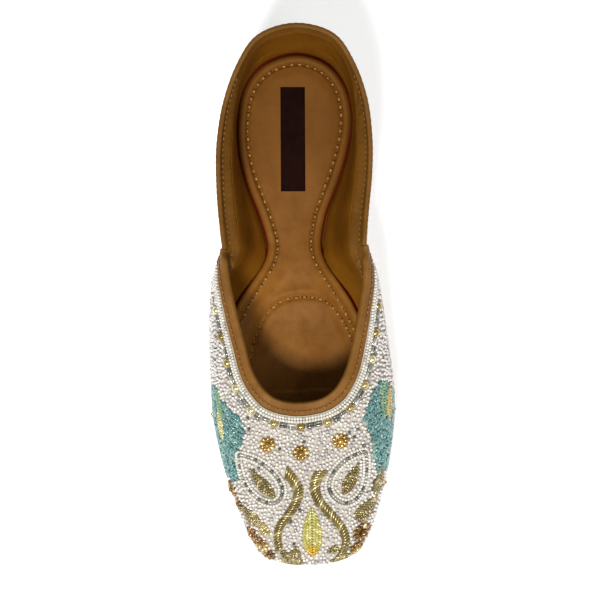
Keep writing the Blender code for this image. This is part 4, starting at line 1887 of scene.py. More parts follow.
    def make_size_mark(self) -> None:
        """A gold ring with a plain 7 in it, printed on the sole's waist."""
        form = self.form
        size = self.size
        thick = 0.12 * MM
        inner = self.turn_at(self.ring_along, True)
        outer = LOOP_ROWS - self.turn_at(self.ring_along, False)
        turn = np.array([inner, outer])
        middle = form.rail(turn, "sole").mean(axis=0)
        angles = np.linspace(0, 2 * math.pi, 49)[:-1]
        ring = np.stack([np.cos(angles), np.sin(angles)], 1) * self.ring_radius
        half = self.ring_radius * 0.42
        seven = np.array([(half * 0.75, half), (-half * 0.75, half), (half * 0.2, -half)])
        bar, stem = smooth_path(seven[:2], 6), smooth_path(seven[1:], 8)
        strokes = [(ring, True), (bar, False), (stem, False)]
        points, quads = [], []
        count = 0
        for path, closed in strokes:
            ahead = np.roll(path, -1, axis=0) - np.roll(path, 1, axis=0)
            if not closed:
                ahead[0], ahead[-1] = path[1] - path[0], path[-1] - path[-2]
            out = unit(np.stack([ahead[:, 1], -ahead[:, 0]], 1)) * self.mark_width / 2
            grid = []
            for plan, level in ((path - out, 0), (path + out, 0), (path + out, 1), (path - out, 1)):
                plan = plan + middle
                under = form.sole_top(form.along_of(plan[:, 1])) - size.sole_sheet
                grid.append(np.column_stack([plan, under - thick * level + thick * 0.4]))
            grid = np.stack(grid, axis=1)
            quads.append(grid_quads(len(path), 4, closed, True) + count)
            if not closed:
                quads.append(np.array([[0, 1, 2, 3]]) + count)
                quads.append(np.array([[3, 2, 1, 0]]) + count + 4 * (len(path) - 1))
            points.append(grid.reshape(-1, 3))
            count += 4 * len(path)
        made = new_mesh("sole_size_mark", np.concatenate(points), quads, smooth=False)
        dress(made, GOLD_PRINT)
        self.keep(made, "brown_rubber")


@dataclass
class Upper(SubAssembly):
    """The leather wall, its lining and the folded bindings."""

    outer_rows: int = 40
    inner_rows: int = 22
    stitch_pitch: float = 2.6 * MM
    stitch_width: float = 0.52 * MM
    stitch_share: float = 0.62
    row_start: float = 24 * MM
    dark_stitches: Stamp = field(default_factory=lambda: Stamp(Stock.STITCH.shape()))
    light_stitches: Stamp = field(default_factory=lambda: Stamp(Stock.STITCH.shape()))
    holes: Stamp = field(default_factory=lambda: Stamp(Stock.HOLE.shape()))

    def build(self) -> None:
        """Makes the wall, lining and bindings, then their stitches."""
        self.make_wall()
        self.make_lining()
        self.make_throat_binding()
        self.make_topline_binding()
        self.make_rear_binding("inner", True)
        self.make_rear_binding("outer", False)
        self.make_wing_band("inner", True)
        self.make_wing_band("outer", False)
        for name, stamp, finish, slot in (
            ("binding_stitches", self.dark_stitches, DARK_THREAD, "tan_binding"),
            ("topline_stitches", self.light_stitches, TOP_THREAD, "tan_binding"),
            ("binding_needle_holes", self.holes, HOLE_SHADE, "tan_binding"),
        ):
            made = stamp.object(name)
            dress(made, finish)
            self.keep(made, slot)

    def wall_creases(self) -> list[Groove]:
        """Soft creases of the silver quarters, behind the vamp's corners and over the heel.

        Returns:
            The troughs.
        """
        form = self.form
        rows = (
            (5.9, 0.30, 5.1, 0.62, 1.8, 0.45),
            (6.3, 0.52, 5.6, 0.86, 1.5, 0.35),
            (4.6, 0.22, 3.9, 0.40, 2.2, 0.30),
            (2.0, 0.16, 0.8, 0.22, 2.4, 0.35),
            (28.1, 0.30, 28.9, 0.62, 1.8, 0.45),
            (27.7, 0.55, 28.4, 0.84, 1.5, 0.35),
            (29.6, 0.20, 30.3, 0.42, 2.2, 0.30),
            (32.2, 0.15, 33.4, 0.21, 2.4, 0.35),
        )
        grooves = []
        for turn_a, share_a, turn_b, share_b, width, depth in rows:
            turns = np.linspace(turn_a, turn_b, 7)
            shares = np.linspace(share_a, share_b, 7) + 0.03 * np.sin(np.linspace(0, 4, 7))
            path = form.skin(turns, shares * form.length(turns))
            grooves.append(Groove(path, width * MM, depth * MM))
        return grooves

    def puckers(self, turn: np.ndarray, climb: np.ndarray) -> np.ndarray:
        """Depth of the small gathers where the vamp's cloth is lasted under.

        Args:
            turn: Places round the shoe, in sections.
            climb: Lengths up the wall.

        Returns:
            The depths.
        """
        low = bump_curve(climb, 3.0 * MM)
        toe = ease(self.form.wide_along(turn), 0.55 * self.size.shoe_length, 0.9 * self.size.shoe_length)
        wave = np.sin(turn * 26.0) * 0.6 + np.sin(turn * 41.0 + 1.3) * 0.4
        return low * (0.10 + 0.22 * toe) * MM * (wave - 1.0)

    def make_wall(self) -> None:
        """The wall: silver leather outside the quarters, cloth at the vamp, tan inside, and a dark
        lining inside the toe box as painted shade.
        """
        form = self.form
        size = self.size
        turns = np.arange(LOOP_ROWS * 10) / 10
        length = form.length(turns)[:, None]
        outer_turn = np.repeat(turns[:, None], self.outer_rows, axis=1)
        climb = length * np.linspace(0, 1, self.outer_rows)[None, :] ** 1.1
        flat = form.skin(outer_turn, climb)
        depth = -sunk(flat, self.wall_creases())
        vamp = form.past(Cut(size.vamp_edge_top, size.vamp_edge_foot), flat) > size.rear_leg / 2
        depth = np.where(vamp, self.puckers(outer_turn, climb), depth)
        outer = form.skin(outer_turn, climb, depth)
        inner_turn = np.repeat(turns[:, None], self.inner_rows, axis=1)
        inner_climb = length * np.linspace(0, 1, self.inner_rows)[None, :]
        inner = form.skin(inner_turn, inner_climb, -form.wall_depth(length - inner_climb))
        made = tube("upper_wall", two_faced(outer, inner), closed=True)
        dress(made, SILVER_LEATHER, CREAM_CLOTH, TAN_LINING, VAMP_LINING_SHADE)
        loop = self.outer_rows + self.inner_rows
        # Inner faces ahead of the wings take the dark vamp lining: painted shade for the toe box.
        ahead = form.wide_along(turns) > size.wing_foot
        zone = np.where(ahead[:, None], 3, 2) * np.ones((1, loop), dtype=int)
        zone[:, : self.outer_rows - 1] = np.where(vamp[:, :-1], 1, 0)
        made.data.polygons.foreach_set("material_index", zone.ravel().astype(np.int32))
        self.keep(made, "silver_leather", "upper")

    def make_lining(self) -> None:
        """The tan lining of the back, whose stitched wings run forward inside the vamp."""
        form = self.form
        size = self.size
        rows = 34
        shares = np.linspace(0, 1, rows)

        def climb_of(turn: np.ndarray, share: np.ndarray) -> np.ndarray:
            """Climb of a row."""
            leg = blend(size.band_leg, size.throat_leg, form.vampness(turn))
            low = form.margin(turn) * size.lining_start
            return blend(low, form.length(turn) - leg - size.gap, share)

        cut = Cut(size.wing_top, size.wing_foot)
        starts = form.crossing(cut, climb_of, shares, False) - LOOP_ROWS
        ends = form.crossing(cut, climb_of, shares, True)
        turns = column_turns(starts, ends, np.linspace(0, 1, 210))
        climb = climb_of(turns, shares[None, :])
        outside = -size.wall - size.gap - form.padding(turns, form.length(turns) - climb)
        base = form.skin(turns, climb, outside - size.lining)
        thin = 0.35 * MM * ease(shares, 0.9, 1.0)[None, :]
        thin = thin + 0.5 * MM * (1 - ease(shares, 0.0, 0.14))[None, :]
        face_depth = outside - size.lining + thin + sunk(base, self.lining_creases())
        face = form.skin(turns, climb, np.minimum(face_depth, outside - 0.3 * MM))
        back = form.skin(turns, climb, outside)
        made = tube("quarter_lining_leather", two_faced(back, face), closed=False)
        dress(made, TAN_LINING)
        self.keep(made, "tan_lining", "quarter_lining")

    def lining_creases(self) -> list[Groove]:
        """Wrinkles of the lining where the shoe bends at the waist.

        Returns:
            The troughs.
        """
        form = self.form
        rows = (
            (5.6, 0.86, 4.9, 0.74, 1.1, 0.5),
            (6.3, 0.80, 5.7, 0.55, 1.3, 0.5),
            (28.2, 0.70, 28.9, 0.52, 1.4, 0.5),
            (28.9, 0.34, 29.4, 0.30, 1.6, 0.4),
            (0.9, 0.30, 2.4, 0.24, 2.0, 0.35),
            (31.8, 0.26, 33.2, 0.30, 2.0, 0.35),
        )
        grooves = []
        for turn_a, share_a, turn_b, share_b, width, depth in rows:
            turns = np.linspace(turn_a, turn_b, 6)
            shares = np.linspace(share_a, share_b, 6) + 0.02 * np.sin(np.linspace(0, 4, 6))
            path = form.skin(turns, shares * form.length(turns), -self.size.wall - 1.1 * MM)
            grooves.append(Groove(path, width * MM, depth * MM))
        return grooves

    def fold(
        self, outer_leg: float, inner_leg: float, thick: float, stitch_down: float,
    ) -> tuple[np.ndarray, np.ndarray, np.ndarray, np.ndarray]:
        """Cross-section of a binding folded over the wall's free edge.

        Args:
            outer_leg: Its reach down the outside.
            inner_leg: Its reach down the inside.
            thick: Its thickness outside.
            stitch_down: Where its stitch row lies, over 0 outside and under 0 inside.

        Returns:
            Down and depth of its outer line, then of its inner line.
        """
        size = self.size
        space = size.fold_space
        sheet = size.fold_sheet
        inside = -size.edge_wall - space
        deep = inside - sheet
        out = space + thick
        edge = np.array([0.0, 0.12, 0.3, 0.55, 0.9]) * MM
        run = np.concatenate([outer_leg - edge, np.linspace(outer_leg - 1.3 * MM, 0.3 * MM, 12)])
        lift = np.array([0.25, 0.62, 0.85, 0.96, 1.0])
        run_depth = np.concatenate([space + thick * lift, np.full(12, out)])
        angles = np.linspace(0.12, math.pi - 0.12, 11)
        middle, half = (out + deep) / 2, (out - deep) / 2
        crown = -(space + sheet) * np.sin(angles)
        crown_depth = middle + half * np.cos(angles)
        back_edge = np.array([0.9, 0.5, 0.25, 0.0]) * MM
        back = np.concatenate([np.linspace(0.3 * MM, inner_leg - 1.3 * MM, 6), inner_leg - back_edge])
        under_back = -self.form.wall_depth(back) - space
        back_lift = np.concatenate([np.ones(7), np.array([0.95, 0.75, 0.35])])
        down = np.concatenate([run, crown, back])
        depth = np.concatenate([run_depth, crown_depth, under_back - sheet * back_lift])
        side = np.concatenate([np.ones(len(run) + 5), -np.ones(6 + len(back))])
        trough = bump_curve(down - abs(stitch_down), 0.55 * MM) * (side * stitch_down > 0)
        depth = depth - side * 0.22 * MM * trough
        under_run = np.full(len(run), space)
        under_crown = (space + inside) / 2 + (space - inside) / 2 * np.cos(angles)
        under_down = np.concatenate([run, -space * np.sin(angles), back])
        under = np.concatenate([under_run, under_crown, under_back])
        return down, depth, under_down, under

    def folded_band(
        self, name: str, section: tuple[np.ndarray, np.ndarray, np.ndarray, np.ndarray],
        cut: Cut, front: bool, columns: int, creases: tuple[Groove, ...] = (),
    ) -> bpy.types.Object:
        """A folded binding between the places where it meets a cut on both sides.

        Args:
            name: The object's name.
            section: Its cross-section, as fold gives it.
            cut: The plane at its ends.
            front: Whether it runs round the front of the cut, or else round the back.
            columns: Cross-sections along it.
            creases: Small troughs in its inner leg.

        Returns:
            The object.
        """
        form = self.form
        down = np.concatenate([section[0], section[2][::-1]])
        depth = np.concatenate([section[1], section[3][::-1]])

        def climb_of(turn: np.ndarray, drop: np.ndarray) -> np.ndarray:
            """Climb of a row."""
            return form.length(turn) - drop

        inner = form.crossing(cut, climb_of, down, True)
        outer = form.crossing(cut, climb_of, down, False)
        starts, ends = (inner, outer) if front else (outer - LOOP_ROWS, inner)
        shares = np.linspace(0, 1, columns)
        turns = column_turns(starts, ends, shares)
        waver = 0.05 * MM * np.sin(shares * columns * 0.9)[:, None]
        leaned = form.padding(turns, np.broadcast_to(down, turns.shape)) * (depth < 0)[None, :]
        climb = form.length(turns) - down[None, :]
        grid = form.skin(turns, climb, depth[None, :] + waver - leaned)
        if creases:
            dents = sunk(grid, list(creases)) * (depth < -self.size.wall)[None, :]
            grid = form.skin(turns, climb, depth[None, :] + waver - leaned + dents)
        return tube(name, grid, closed=False)

    def crumple(self) -> tuple[Groove, ...]:
        """The small creases in the topline's band, beside the heel on the inner side.

        Returns:
            The troughs.
        """
        form = self.form
        turns = np.linspace(0.5, 6.5, 300)
        drops = np.linspace(4.4, 7.6, 5) * MM
        grooves = []
        for along, lean in ((31 * MM, 0.10), (36 * MM, -0.09), (40 * MM, 0.08), (45 * MM, -0.07)):
            at = np.interp(along, form.wide_along(turns), turns) + lean * np.linspace(-1, 1, 5)
            depth = form.wall_depth(drops) + form.padding(at, drops) + self.size.fold_sheet
            path = form.skin(at, form.length(at) - drops, -depth)
            grooves.append(Groove(path, 1.0 * MM, 0.6 * MM))
        return tuple(grooves)

    def row_path(
        self, cut: Cut, front: bool, down: float, depth: float
    ) -> tuple[np.ndarray, np.ndarray]:
        """A stitch row's points and outward directions, at a distance below the free edge.

        Args:
            cut: The plane that ends it.
            front: Whether it runs round the front of the cut.
            down: Distance below the free edge.
            depth: Height over the outer face, negative inside.

        Returns:
            The points and the ways out.
        """
        form = self.form

        def climb_of(turn: np.ndarray, drop: np.ndarray) -> np.ndarray:
            """Climb of a row."""
            return form.length(turn) - drop

        drop = np.array([down])
        inner = form.crossing(cut, climb_of, drop, True)[0]
        outer = form.crossing(cut, climb_of, drop, False)[0]
        ends = (inner + 0.1, outer - 0.1) if front else (outer - LOOP_ROWS + 0.08, inner - 0.08)
        turns = np.linspace(*ends, 500)
        climb = form.length(turns) - down
        if depth < 0:
            depth = depth - form.padding(turns, np.full(len(turns), down))
        return form.skin(turns, climb, depth), form.normal(turns, climb)

    def make_throat_binding(self) -> None:
        """The wide tan binding round the vamp's opening, with its row near the beads."""
        size = self.size
        cut = Cut(size.vamp_edge_top + size.gap / 2, size.vamp_edge_foot + size.gap / 2)
        thick = 1.4 * MM
        stitch_down = size.throat_show - 2.6 * MM
        section = self.fold(size.throat_show, size.inner_leg, thick, stitch_down)
        made = self.folded_band("throat_binding_leather", section, cut, True, 260)
        dress(made, TAN_BINDING)
        self.keep(made, "tan_binding", "throat_binding")
        depth = size.fold_space + thick - 0.1 * MM
        path, outs = self.row_path(cut, True, stitch_down, depth)
        stitch_row(
            self.dark_stitches, self.holes, path, outs, self.stitch_pitch, self.stitch_width,
            self.stitch_share,
        )

    def make_topline_binding(self) -> None:
        """The narrow tan binding round the back, with its row on the inside."""
        size = self.size
        cut = Cut(size.vamp_edge_top - size.gap / 2, size.vamp_edge_foot - size.gap / 2)
        stitch_down = 3.3 * MM
        section = self.fold(size.topline_leg, size.band_leg, 0.6 * MM, -stitch_down)
        creases = self.crumple()
        made = self.folded_band("topline_binding_leather", section, cut, False, 560, creases)
        dress(made, TAN_TOPLINE)
        self.keep(made, "tan_binding", "topline_binding")
        wall = float(self.form.wall_depth(np.array(stitch_down)))
        depth = 0.2 * MM - wall - size.fold_space - size.fold_sheet
        path, outs = self.row_path(cut, False, stitch_down, depth)
        ahead = self.form.along_of(path[:, 1]) > self.row_start
        for side in (path[:, 0] < 0, path[:, 0] > 0):
            stitch_row(
                self.light_stitches, self.holes, path[side & ahead], -outs[side & ahead],
                self.stitch_pitch, self.stitch_width, self.stitch_share,
            )

    def make_wing_band(self, side: str, inner: bool) -> None:
        """The topline's inner band where it runs on inside the vamp, sinking as it goes.

        Args:
            side: The side's name.
            inner: Whether it is on the inner side.
        """
        form = self.form
        size = self.size
        rows, columns = 22, 60
        shares = np.linspace(0, 1, rows)
        tops = (0.5 * MM, 7.0 * MM)
        lows = (size.band_leg, 12.5 * MM)

        def climb_at(station: int) -> Callable[[np.ndarray, np.ndarray], np.ndarray]:
            """Climb of a row at one end of the band."""
            return lambda turn, share: form.length(turn) - blend(tops[station], lows[station], share)

        rear = Cut(size.vamp_edge_top - 1.5 * MM, size.vamp_edge_foot - 1.5 * MM)
        starts = form.crossing(rear, climb_at(0), shares, inner)
        ends = form.crossing(Cut(size.wing_foot, size.wing_foot), climb_at(1), shares, inner)
        spread = np.linspace(0, 1, columns)
        turns = column_turns(starts, ends, spread)
        sink = ease(spread, -0.3, 1.0)[:, None]
        drop = blend(blend(tops[0], lows[0], shares), blend(tops[1], lows[1], shares), sink)
        climb = form.length(turns) - drop
        back = form.wall_depth(drop) + size.fold_space + size.fold_sheet - 0.1 * MM
        back = back + 0.35 * MM * ease(spread, 0.0, 0.12)[:, None] + form.padding(turns, drop)
        round_edge = np.sqrt(np.clip(1 - (2 * shares - 1) ** 6, 0, 1))
        thick = (0.1 + 0.9 * round_edge)[None, :] * MM * ease(spread, -0.06, 0.3)[:, None]
        row_share = 0.36
        thick = thick - 0.2 * MM * bump_curve(shares - row_share, 0.06)[None, :]
        grid = two_faced(form.skin(turns, climb, -back), form.skin(turns, climb, -back - thick))
        made = tube("wing_band_" + side, grid, closed=False)
        dress(made, TAN_TOPLINE)
        self.keep(made, "tan_lining")
        at = round(row_share * (rows - 1))
        depth = -back[:, at] - thick[:, at] + 0.12 * MM
        path = form.skin(turns[:, at], climb[:, at], depth)
        stitch_row(
            self.light_stitches, self.holes, path[3:], -form.normal(turns[:, at], climb[:, at])[3:],
            self.stitch_pitch, self.stitch_width, self.stitch_share,
        )

    def make_rear_binding(self, side: str, inner: bool) -> None:
        """The binding down one rear edge of the vamp, with a row along each edge.

        Args:
            side: The side's name.
            inner: Whether it is on the inner side.
        """
        form = self.form
        size = self.size
        rows, columns = 40, 26
        shares = np.linspace(0, 1, rows)

        def climb_of(turn: np.ndarray, share: np.ndarray) -> np.ndarray:
            """Climb of a row."""
            return blend(form.margin(turn) / 3, form.length(turn) - size.throat_show - 0.03 * MM, share)

        half = size.gap / 2
        rear = Cut(size.vamp_edge_top + half, size.vamp_edge_foot + half)
        front = Cut(size.vamp_edge_top + size.rear_leg, size.vamp_edge_foot + size.rear_leg)
        starts = form.crossing(rear, climb_of, shares, inner)
        ends = form.crossing(front, climb_of, shares, inner)
        spread = (1 - np.cos(np.linspace(0, math.pi, columns))) / 2
        turns = column_turns(starts, ends, spread)
        climb = climb_of(turns, shares[None, :])
        across = (2 * spread - 1)[:, None] * np.ones((1, rows))
        top = 1.6 * MM * (1 - 0.75 * across**10)
        row_at = 0.66
        for place_across in (-row_at, row_at):
            top = top - 0.22 * MM * bump_curve(across - place_across, 0.12)
        grid = two_faced(
            form.skin(turns, climb, size.gap + top), form.skin(turns, climb, size.gap + 0 * climb)
        )
        made = tube("rear_binding_leather_" + side, grid, closed=False)
        dress(made, TAN_BINDING)
        self.keep(made, "tan_binding", "rear_binding_" + side)
        for place_across in (-row_at, row_at):
            row_turns = starts + (ends - starts) * (place_across + 1) / 2
            row_climb = climb_of(row_turns, shares)
            path = form.skin(row_turns, row_climb, size.gap + 1.6 * MM - 0.12 * MM)
            outs = form.normal(row_turns, row_climb)
            stitch_row(
                self.dark_stitches, self.holes, path[1:-1], outs[1:-1], self.stitch_pitch,
                self.stitch_width, self.stitch_share,
            )


def inside_outline(places: np.ndarray, outline: np.ndarray) -> np.ndarray:
    """Which plan places lie inside a closed outline.

    Args:
        places: Plan places.
        outline: The outline's corners.

    Returns:
        True for each place inside.
    """
    inside = np.zeros(len(places), dtype=bool)
    for a, b in zip(outline, np.roll(outline, -1, axis=0)):
        crosses = (a[1] > places[:, 1]) != (b[1] > places[:, 1])
        run = b[1] - a[1] if b[1] != a[1] else 1e-9
        limit = a[0] + (places[:, 1] - a[1]) * (b[0] - a[0]) / run
        inside ^= crosses & (places[:, 0] < limit)
    return inside


@dataclass
class Sock(SubAssembly):
    """The padded insole with its stitched channels, and the bare label on it."""

    view: PhotoView = field(default_factory=PhotoView)
    row_inset: float = 4.7 * MM
    rim_width: float = 2.4 * MM
    rim_puff: float = 1.1 * MM
    seam_width: float = 0.6 * MM
    side_rise: float = 10.0 * MM
    side_slope: float = 16 * MM
    seam_opening: float = 0.18
    row_aside: float = 0.2
    channel_width: float = 0.85 * MM
    channel_depth: float = 1.3 * MM
    middle_puff: float = 0.7 * MM
    bowl_depth: float = 0.9 * MM
    stitch_pitch: float = 4.2 * MM
    stitch_share: float = 0.47
    stitch_width: float = 0.95 * MM
    label_thickness: float = 0.45 * MM
    arch_chart: tuple[tuple[float, float], ...] = (
        (205.0, 372.0), (207.5, 358.0), (210.6, 344.5), (213.7, 333.3), (219.5, 320.5),
        (229.5, 310.6), (242.0, 306.7), (254.2, 307.0), (262.8, 310.4), (269.4, 317.5),
        (275.2, 326.6), (279.0, 336.5), (282.0, 350.0), (283.0, 368.0),
    )
    label_chart: tuple[tuple[float, float], ...] = (
        (230.5, 164.5), (247.0, 164.5), (247.4, 235.0), (230.9, 235.0),
    )
    dot_chart: tuple[float, float] = (239.5, 258.0)

    def rise(self, turns: np.ndarray) -> np.ndarray:
        """How far the padded edge climbs the wall beside the waist and the tread."""
        along = self.form.along_of(self.outline(turns, self.size.insole, 0.0)[:, 1])
        start, top, fade, end = (100 * MM, 130 * MM, 150 * MM, 180 * MM)
        return self.side_rise * ease(along, start, top) * (1 - ease(along, fade, end))

    def outline(self, turns: np.ndarray, height: Number, reach: Number) -> np.ndarray:
        """The insole's outline at a height, short of the wall's inner face by reach.

        Args:
            turns: Places round the shoe, in sections.
            height: Height over the feather edge.
            reach: Distance in from the wall.

        Returns:
            The outline's points.
        """
        form = self.form
        climb = np.zeros(len(turns)) + height
        for _ in range(4):
            point = form.skin(turns, climb, -self.size.wall)
            climb = climb + height - (point[:, 2] - form.feather(form.along_of(point[:, 1])))
        plan = form.skin(turns, np.maximum(climb, 0.0), -self.size.wall)[:, :2]
        return plan - form.rail_normal(turns, "sole") * reach

    def build(self) -> None:
        """Makes the padded insole, its stitches and the label."""
        size = self.size
        form = self.form
        stations = np.linspace(0, LAST_ROW, LAST_ROW * 20 + 1)
        height = size.insole
        inset = size.insole_inset
        rim = self.rim_width
        ring_depths = np.array([0.0, 0.05, 0.16, 0.34, 0.6, 1.0, 1.4]) * rim
        ring_depths = np.concatenate([ring_depths, np.array([4.0, 4.35, 4.7, 5.05, 5.4, 6.0]) * MM])
        lift = np.sqrt(np.clip(1 - (1 - np.minimum(ring_depths / rim, 1.0)) ** 2, 0, 1))
        seam = inset - self.seam_width
        rings = [(inset + rim / 2, 0.0), (seam, height * 0.12), (seam, height * 0.62)]
        rings += [(inset + d, height * (0.5 + 0.5 * k)) for d, k in zip(ring_depths, lift)]
        across = 46
        shares = (np.arange(1, across) / across)[None, :, None]
        edges = []
        rises = []
        for turns in (LOOP_ROWS - stations, stations):
            rise = self.rise(turns)
            ring_points = []
            opened = self.seam_opening * rise[:, None]
            for index, (reach, level) in enumerate(rings):
                aside = reach + (opened if index > 2 else 0.0)
                plan = self.outline(turns, level * 0.85 + rise, aside)
                z = form.feather(form.along_of(plan[:, 1])) + level
                z = z + rise * (1 - ease(reach - inset, 0.0, self.side_slope))
                ring_points.append(np.column_stack([plan, z]))
            edges.append(np.stack(ring_points, axis=1))
            rises.append(rise[:, None])
        outer, inner = edges
        top = outer[:, -1:, :] + (inner[:, -1:, :] - outer[:, -1:, :]) * shares
        wide = np.linalg.norm(inner[:, -1:, :2] - outer[:, -1:, :2], axis=2)
        top[:, :, 2] = form.feather(form.along_of(top[:, :, 1])) + height
        for rise, part in zip(rises, (shares[:, :, 0], 1 - shares[:, :, 0])):
            top[:, :, 2] += rise * (1 - ease(ring_depths[-1] + part * wide, 0.0, self.side_slope))
        low = inner[:, :1, :] + (outer[:, :1, :] - inner[:, :1, :]) * shares
        low[:, :, 2] = form.feather(form.along_of(low[:, :, 1]))
        grid = np.concatenate([outer, top, inner[:, ::-1], low], axis=1)
        edge = np.concatenate([outer[:, 5], inner[::-1, 5]])
        face = slice(4, 2 * len(rings) + across - 1 - 4)
        plain = grid[:, face].copy()
        flat = plain.copy()
        flat[:, :, 2] = 0
        edge_flat = edge.copy()
        edge_flat[:, 2] = 0
        inward = nearness(flat, edge_flat)
        surface = Surface(plain)
        arch, _ = self.view.path(surface, list(self.arch_chart))
        arch_flat = arch.copy()
        arch_flat[:, 2] = 0
        to_arch = nearness(flat, arch_flat)
        within = inside_outline(flat[:, :, :2].reshape(-1, 2), arch_flat[:, :2])
        within = within.reshape(to_arch.shape)
        raised = self.rim_puff * np.sin(np.clip(inward / self.row_inset, 0, 1) * math.pi)
        raised += self.middle_puff * ease(inward, self.row_inset, self.row_inset + 6 * MM)
        row = np.column_stack([self.row_plan(), np.zeros(len(self.row_plan()))])
        for route, away in ((row, nearness(flat, row)), (arch_flat, to_arch)):
            pull = 0.62 + 0.38 * np.cos(2 * math.pi * run_along(flat, route) / self.stitch_pitch)
            raised -= self.channel_depth * bump_curve(away, self.channel_width) * (0.45 + 0.75 * pull)
        raised += 0.9 * MM * bump_curve(to_arch - 3.2 * MM, 2.0 * MM) * ~within
        raised += 0.35 * MM * bump_curve(to_arch - 2.6 * MM, 1.8 * MM) * within
        raised -= np.where(within, self.bowl_depth * ease(to_arch, 4 * MM, 16 * MM), 0.0)
        dot, _ = self.view.place(surface, *self.dot_chart)
        raised -= 0.45 * MM * bump_curve(np.linalg.norm(plain - dot, axis=2), 0.7 * MM)
        grid[:, face, 2] += raised
        made = new_mesh("insole_pad", grid.reshape(-1, 3), [grid_quads(*grid.shape[:2], False, True)])
        dress(made, TAN_INSOLE, SEAM_SHADE)
        loop = np.arange(grid.shape[1])
        last = 2 * len(rings) + across - 3
        side = (loop < 4) | ((loop > last - 4) & (loop <= last))
        zone = np.tile(side.astype(np.int32), grid.shape[0] - 1)
        made.data.polygons.foreach_set("material_index", zone)
        welded(made)
        self.keep(made, "tan_insole", "insole", fill=0.75)
        surface = Surface(grid[:, face])
        self.sew(surface, arch)
        self.make_label(surface)

    def row_plan(self) -> np.ndarray:
        """The outer stitch row in plan, round the heel and up both sides.

        Returns:
            The row's points.
        """
        turns = np.linspace(-11.2, 11.2, 300) % LOOP_ROWS
        rise = self.rise(turns)
        reach = self.size.insole_inset + self.row_inset + self.row_aside * rise
        return self.outline(turns, self.size.insole * 0.5 + rise, reach[:, None])

    def sew(self, surface: Surface, arch: np.ndarray) -> None:
        """Sets the stitches of the outer row and of the forefoot's arch.

        Args:
            surface: The insole's top face.
            arch: The forefoot's stitched arch.
        """
        form = self.form
        stamp = Stamp(Stock.STITCH.shape())
        holes = Stamp(Stock.HOLE.shape())
        plan = self.row_plan()
        high = form.feather(form.along_of(plan[:, 1])) + 25 * MM
        for route in (np.column_stack([plan, high]), arch + np.array([0, 0, 9 * MM])):
            found = [surface.hit(p, np.array([0.0, 0.0, -1.0])) for p in route]
            path = np.array([f[0] for f in found if f])
            outs = np.array([f[1] for f in found if f])
            path = path + outs * 0.02 * MM
            stitch_row(
                stamp, holes, path, outs, self.stitch_pitch, self.stitch_width,
                self.stitch_share,
            )
        for name, marks, finish in (
            ("insole_stitches", stamp, SEWING_THREAD), ("insole_needle_holes", holes, HOLE_SHADE),
        ):
            made = marks.object(name)
            dress(made, finish)
            self.keep(made, "tan_insole")

    def make_label(self, surface: Surface) -> None:
        """The plain dark label, woven, with folded edges, laid on the insole.

        Args:
            surface: The insole's top face.
        """
        corners = np.array([self.view.place(surface, u, v)[0] for u, v in self.label_chart])
        columns, rows = 17, 61
        a = np.linspace(0, 1, columns)[None, :, None]
        b = np.linspace(0, 1, rows)[:, None, None]
        plan = blend(blend(corners[0], corners[1], a), blend(corners[3], corners[2], a), b)
        span = np.linalg.norm(corners[1] - corners[0])
        reach = np.linalg.norm(corners[3] - corners[0])
        to_side = np.minimum(a, 1 - a)[..., 0] * span
        to_end = np.minimum(b, 1 - b)[..., 0] * reach
        near = np.minimum(to_side, to_end)
        hem = 1.4 * MM
        top = self.label_thickness * (0.55 + 0.45 * ease(near, 0.0, 0.5 * MM))
        top = top - 0.14 * MM * ease(near, hem - 0.3 * MM, hem + 0.3 * MM)
        under = np.empty(plan.shape)
        over = np.empty(plan.shape)
        for i in range(rows):
            for j in range(columns):
                start = plan[i, j] + np.array([0, 0, 8 * MM])
                place, out = surface.hit(start, np.array([0.0, 0.0, -1.0]))
                under[i, j] = place + out * 0.02 * MM
                over[i, j] = place + out * top[i, j]
        grid = two_faced(over, under)
        made = tube("insole_label", grid, closed=False)
        dress(made, LABEL_SATIN)
        self.keep(made, "tan_insole")


class Spots:
    """Places already taken by beads."""

    CELL = 2.0 * MM

    def __init__(self) -> None:
        """Starts with nothing taken."""
        self.cells: dict[tuple[int, int, int], list[tuple[np.ndarray, float]]] = {}

    def cell(self, point: np.ndarray) -> tuple[int, int, int]:
        """The cell that a point is in."""
        return tuple(int(math.floor(c / self.CELL)) for c in point)

    def take(self, point: np.ndarray, radius: float) -> None:
        """Marks a place as taken."""
        self.cells.setdefault(self.cell(point), []).append((point, radius))

    def free(self, point: np.ndarray, radius: float) -> bool:
        """Whether nothing is within radius of the point beyond its own.

        Args:
            point: The place.
            radius: The bead's half width.

        Returns:
            True where a bead fits.
        """
        i, j, k = self.cell(point)
        for a in (i - 1, i, i + 1):
            for b in (j - 1, j, j + 1):
                for c in (k - 1, k, k + 1):
                    for other, reach in self.cells.get((a, b, c), ()):
                        away = point - other
                        if away @ away < (radius + reach) ** 2:
                            return False
        return True


class Kind(Enum):
    """Beads by finish and shape."""

    PEARL = (PEARL, Stock.SEED)
    ROW = (PEARL_ROW, Stock.SEED)
    CLEAR_BUGLE = (CLEAR, Stock.BUGLE)
    CLEAR_SEED = (CLEAR, Stock.CUT)
    GOLD_BUGLE = (GOLD, Stock.BUGLE)
    GOLD_SEED = (BRIGHT_GOLD, Stock.SEED)
    COPPER_SEED = (COPPER, Stock.SEED)
    OLIVE_SEED = (GOLD, Stock.SEED)
    STONE = (PALE_GOLD, Stock.CUT)
    SMOKE_BUGLE = (SMOKE, Stock.BUGLE)
    PALE_BUGLE = (PALE_GOLD, Stock.BUGLE)
    COPPER_BUGLE = (COPPER, Stock.BUGLE)
    TURQUOISE = (TURQUOISE, Stock.BUGLE)
    GREEN = (SEA_GREEN, Stock.BUGLE)
    YELLOW = (YELLOW, Stock.BUGLE)
    AMBER = (AMBER, Stock.BUGLE)


